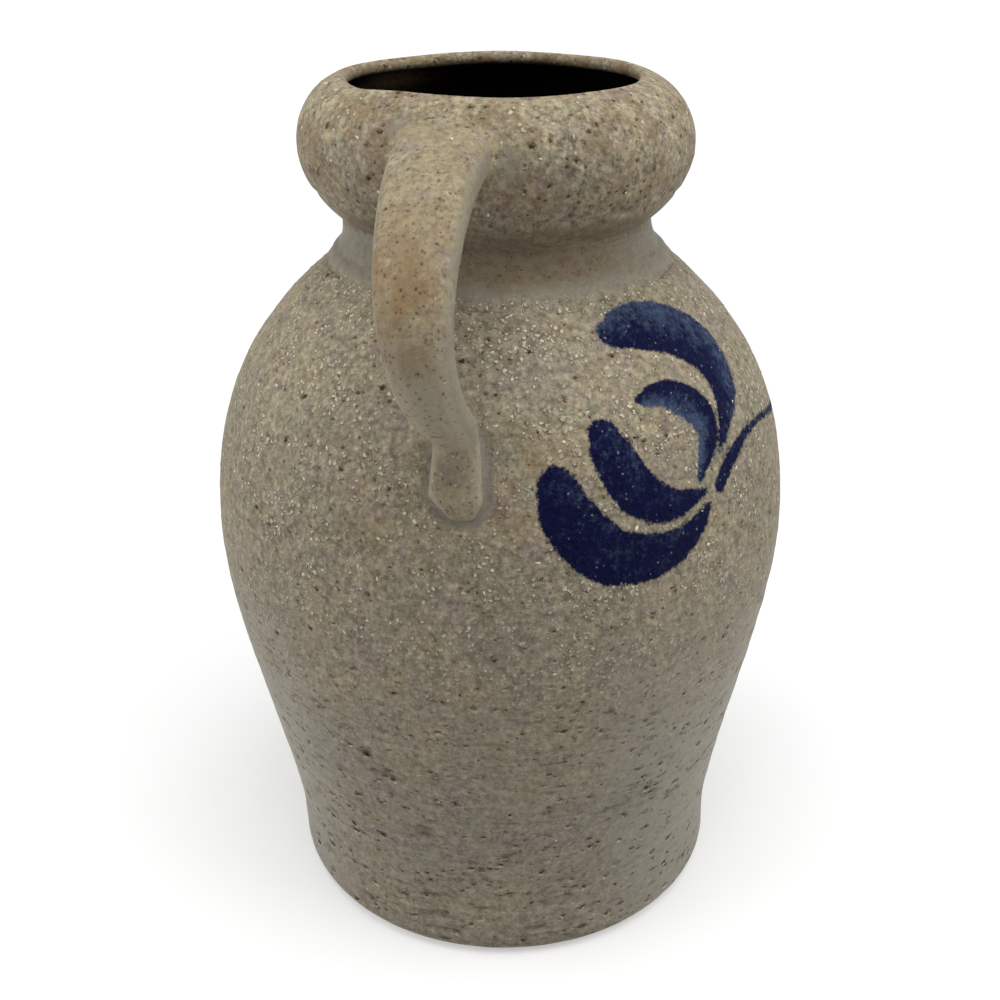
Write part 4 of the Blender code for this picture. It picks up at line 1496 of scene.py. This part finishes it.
class JUG_OT_set_stage(bpy.types.Operator):
    """Set the camera, the pale floor and the soft light"""

    bl_idname = "jug.set_stage"
    bl_label = "Set stage"
    bl_options = {"REGISTER", "UNDO"}

    def execute(self, context):
        scene = context.scene
        scene.view_settings.view_transform = "Standard"
        self.camera(scene)
        self.floor()
        self.surround(scene)
        view = stage_set()
        self.softbox("top_softbox", *TOP_SOFTBOX, view.top_light)
        self.softbox("left_softbox", *LEFT_SOFTBOX, view.left_light)
        self.softbox("right_softbox", *RIGHT_SOFTBOX, view.right_light)
        return {"FINISHED"}

    def camera(self, scene):
        view = stage_set()
        lens = bpy.data.cameras.new("jug_camera")
        lens.lens = view.lens
        lens.sensor_width = 36
        lens.clip_start = 0.01
        made = bpy.data.objects.new("jug_camera", lens)
        made.location = (math.sin(view.azimuth) * view.distance, -math.cos(view.azimuth) * view.distance,
                         view.height)
        made.rotation_euler = (math.pi / 2 - view.pitch, 0, view.azimuth)
        scene.collection.objects.link(made)
        scene.camera = made

    def softbox(self, name, turn, climb, power):
        """A square lamp that faces the middle of the jug, turned from the camera's azimuth."""
        view = stage_set()
        lamp = bpy.data.lights.new(name, "AREA")
        lamp.size = SOFTBOX_SIDE
        lamp.energy = power
        made = bpy.data.objects.new(name, lamp)
        azimuth = view.azimuth + math.radians(turn)
        rise = math.radians(climb)
        middle = Vector((0, 0, thrown().belly_height))
        level = math.cos(rise)
        back = Vector((math.sin(azimuth) * level, -math.cos(azimuth) * level, math.sin(rise)))
        made.location = middle + back * SOFTBOX_DISTANCE
        made.rotation_euler = back.to_track_quat("Z", "Y").to_euler()
        bpy.context.scene.collection.objects.link(made)

    def floor(self):
        view = stage_set()
        half = view.floor_size / 2
        mesh = bpy.data.meshes.new("pale_floor")
        corners = [(-half, -half, 0), (half, -half, 0), (half, half, 0), (-half, half, 0)]
        mesh.from_pydata(corners, [], [(0, 1, 2, 3)])
        made = bpy.data.objects.new("pale_floor", mesh)
        bpy.context.scene.collection.objects.link(made)
        material, nodes = new_material("pale_floor")
        matte = nodes.add("ShaderNodeBsdfDiffuse", sockets={"Color": opaque(view.floor)})
        away = nodes.add("ShaderNodeVectorMath", {"operation": "LENGTH"}, {0: nodes.place()}, output="Value")
        lift = view.near_glow + (view.far_glow - view.near_glow) * away.ramp(0.1, 1.6)
        glow = nodes.add("ShaderNodeEmission", sockets={"Color": (1, 1, 1, 1), "Strength": lift})
        both = nodes.add("ShaderNodeAddShader", sockets={0: matte, 1: glow})
        seen = seen_rays(nodes)
        shader = nodes.add("ShaderNodeMixShader", sockets={0: seen, 1: matte, 2: both})
        nodes.add("ShaderNodeOutputMaterial", sockets={"Surface": shader})
        mesh.materials.append(material)

    def surround(self, scene):
        world = bpy.data.worlds.new("white_surround")
        world.use_nodes = True
        world.node_tree.nodes.clear()
        nodes = Nodes(world.node_tree)
        seen = seen_rays(nodes)
        strength = stage_set().surround + seen * (1 - stage_set().surround)
        light = nodes.add("ShaderNodeBackground", sockets={"Color": (1, 1, 1, 1), "Strength": strength})
        nodes.add("ShaderNodeOutputWorld", sockets={"Surface": light})
        scene.world = world


def seen_rays(nodes):
    """1 for rays that show the background itself: straight from the camera, mirrored or through glass."""
    camera = nodes.add("ShaderNodeLightPath", output="Is Camera Ray")
    return (camera + camera.other("Is Glossy Ray") + camera.other("Is Transmission Ray")).least(1)


class JUG_PT_panel(bpy.types.Panel):
    """The jug's steps in the order in which they are made"""

    bl_label = "Stoneware jug"
    bl_idname = "JUG_PT_panel"
    bl_space_type = "VIEW_3D"
    bl_region_type = "UI"
    bl_category = "Jug"

    def draw(self, context):
        for operator in STEPS:
            self.layout.operator(operator.bl_idname)


STEPS = (JUG_OT_set_stage, JUG_OT_throw_body, JUG_OT_throw_collar, JUG_OT_lute_seam, JUG_OT_pull_strap,
         JUG_OT_lute_strap, JUG_OT_scatter_grit)
GROUPS = {"jug_thrown": JugThrownShape, "jug_strap": JugStrapShape, "jug_finish": JugClayFinish,
          "jug_brushwork": JugBrushwork, "jug_stage": JugStage}


def register():
    for group in GROUPS.values():
        bpy.utils.register_class(group)
    for name, group in GROUPS.items():
        setattr(bpy.types.Scene, name, PointerProperty(type=group))
    for operator in STEPS:
        bpy.utils.register_class(operator)
    bpy.utils.register_class(JUG_PT_panel)


def unregister():
    bpy.utils.unregister_class(JUG_PT_panel)
    for operator in reversed(STEPS):
        bpy.utils.unregister_class(operator)
    for name, group in GROUPS.items():
        delattr(bpy.types.Scene, name)
        bpy.utils.unregister_class(group)


def main():
    register()
    bpy.ops.jug.set_stage()
    bpy.ops.jug.throw_body()
    bpy.ops.jug.throw_collar()
    bpy.ops.jug.lute_seam()
    bpy.ops.jug.pull_strap()
    bpy.ops.jug.lute_strap()
    bpy.ops.jug.scatter_grit()


if __name__ == "__main__":
    main()
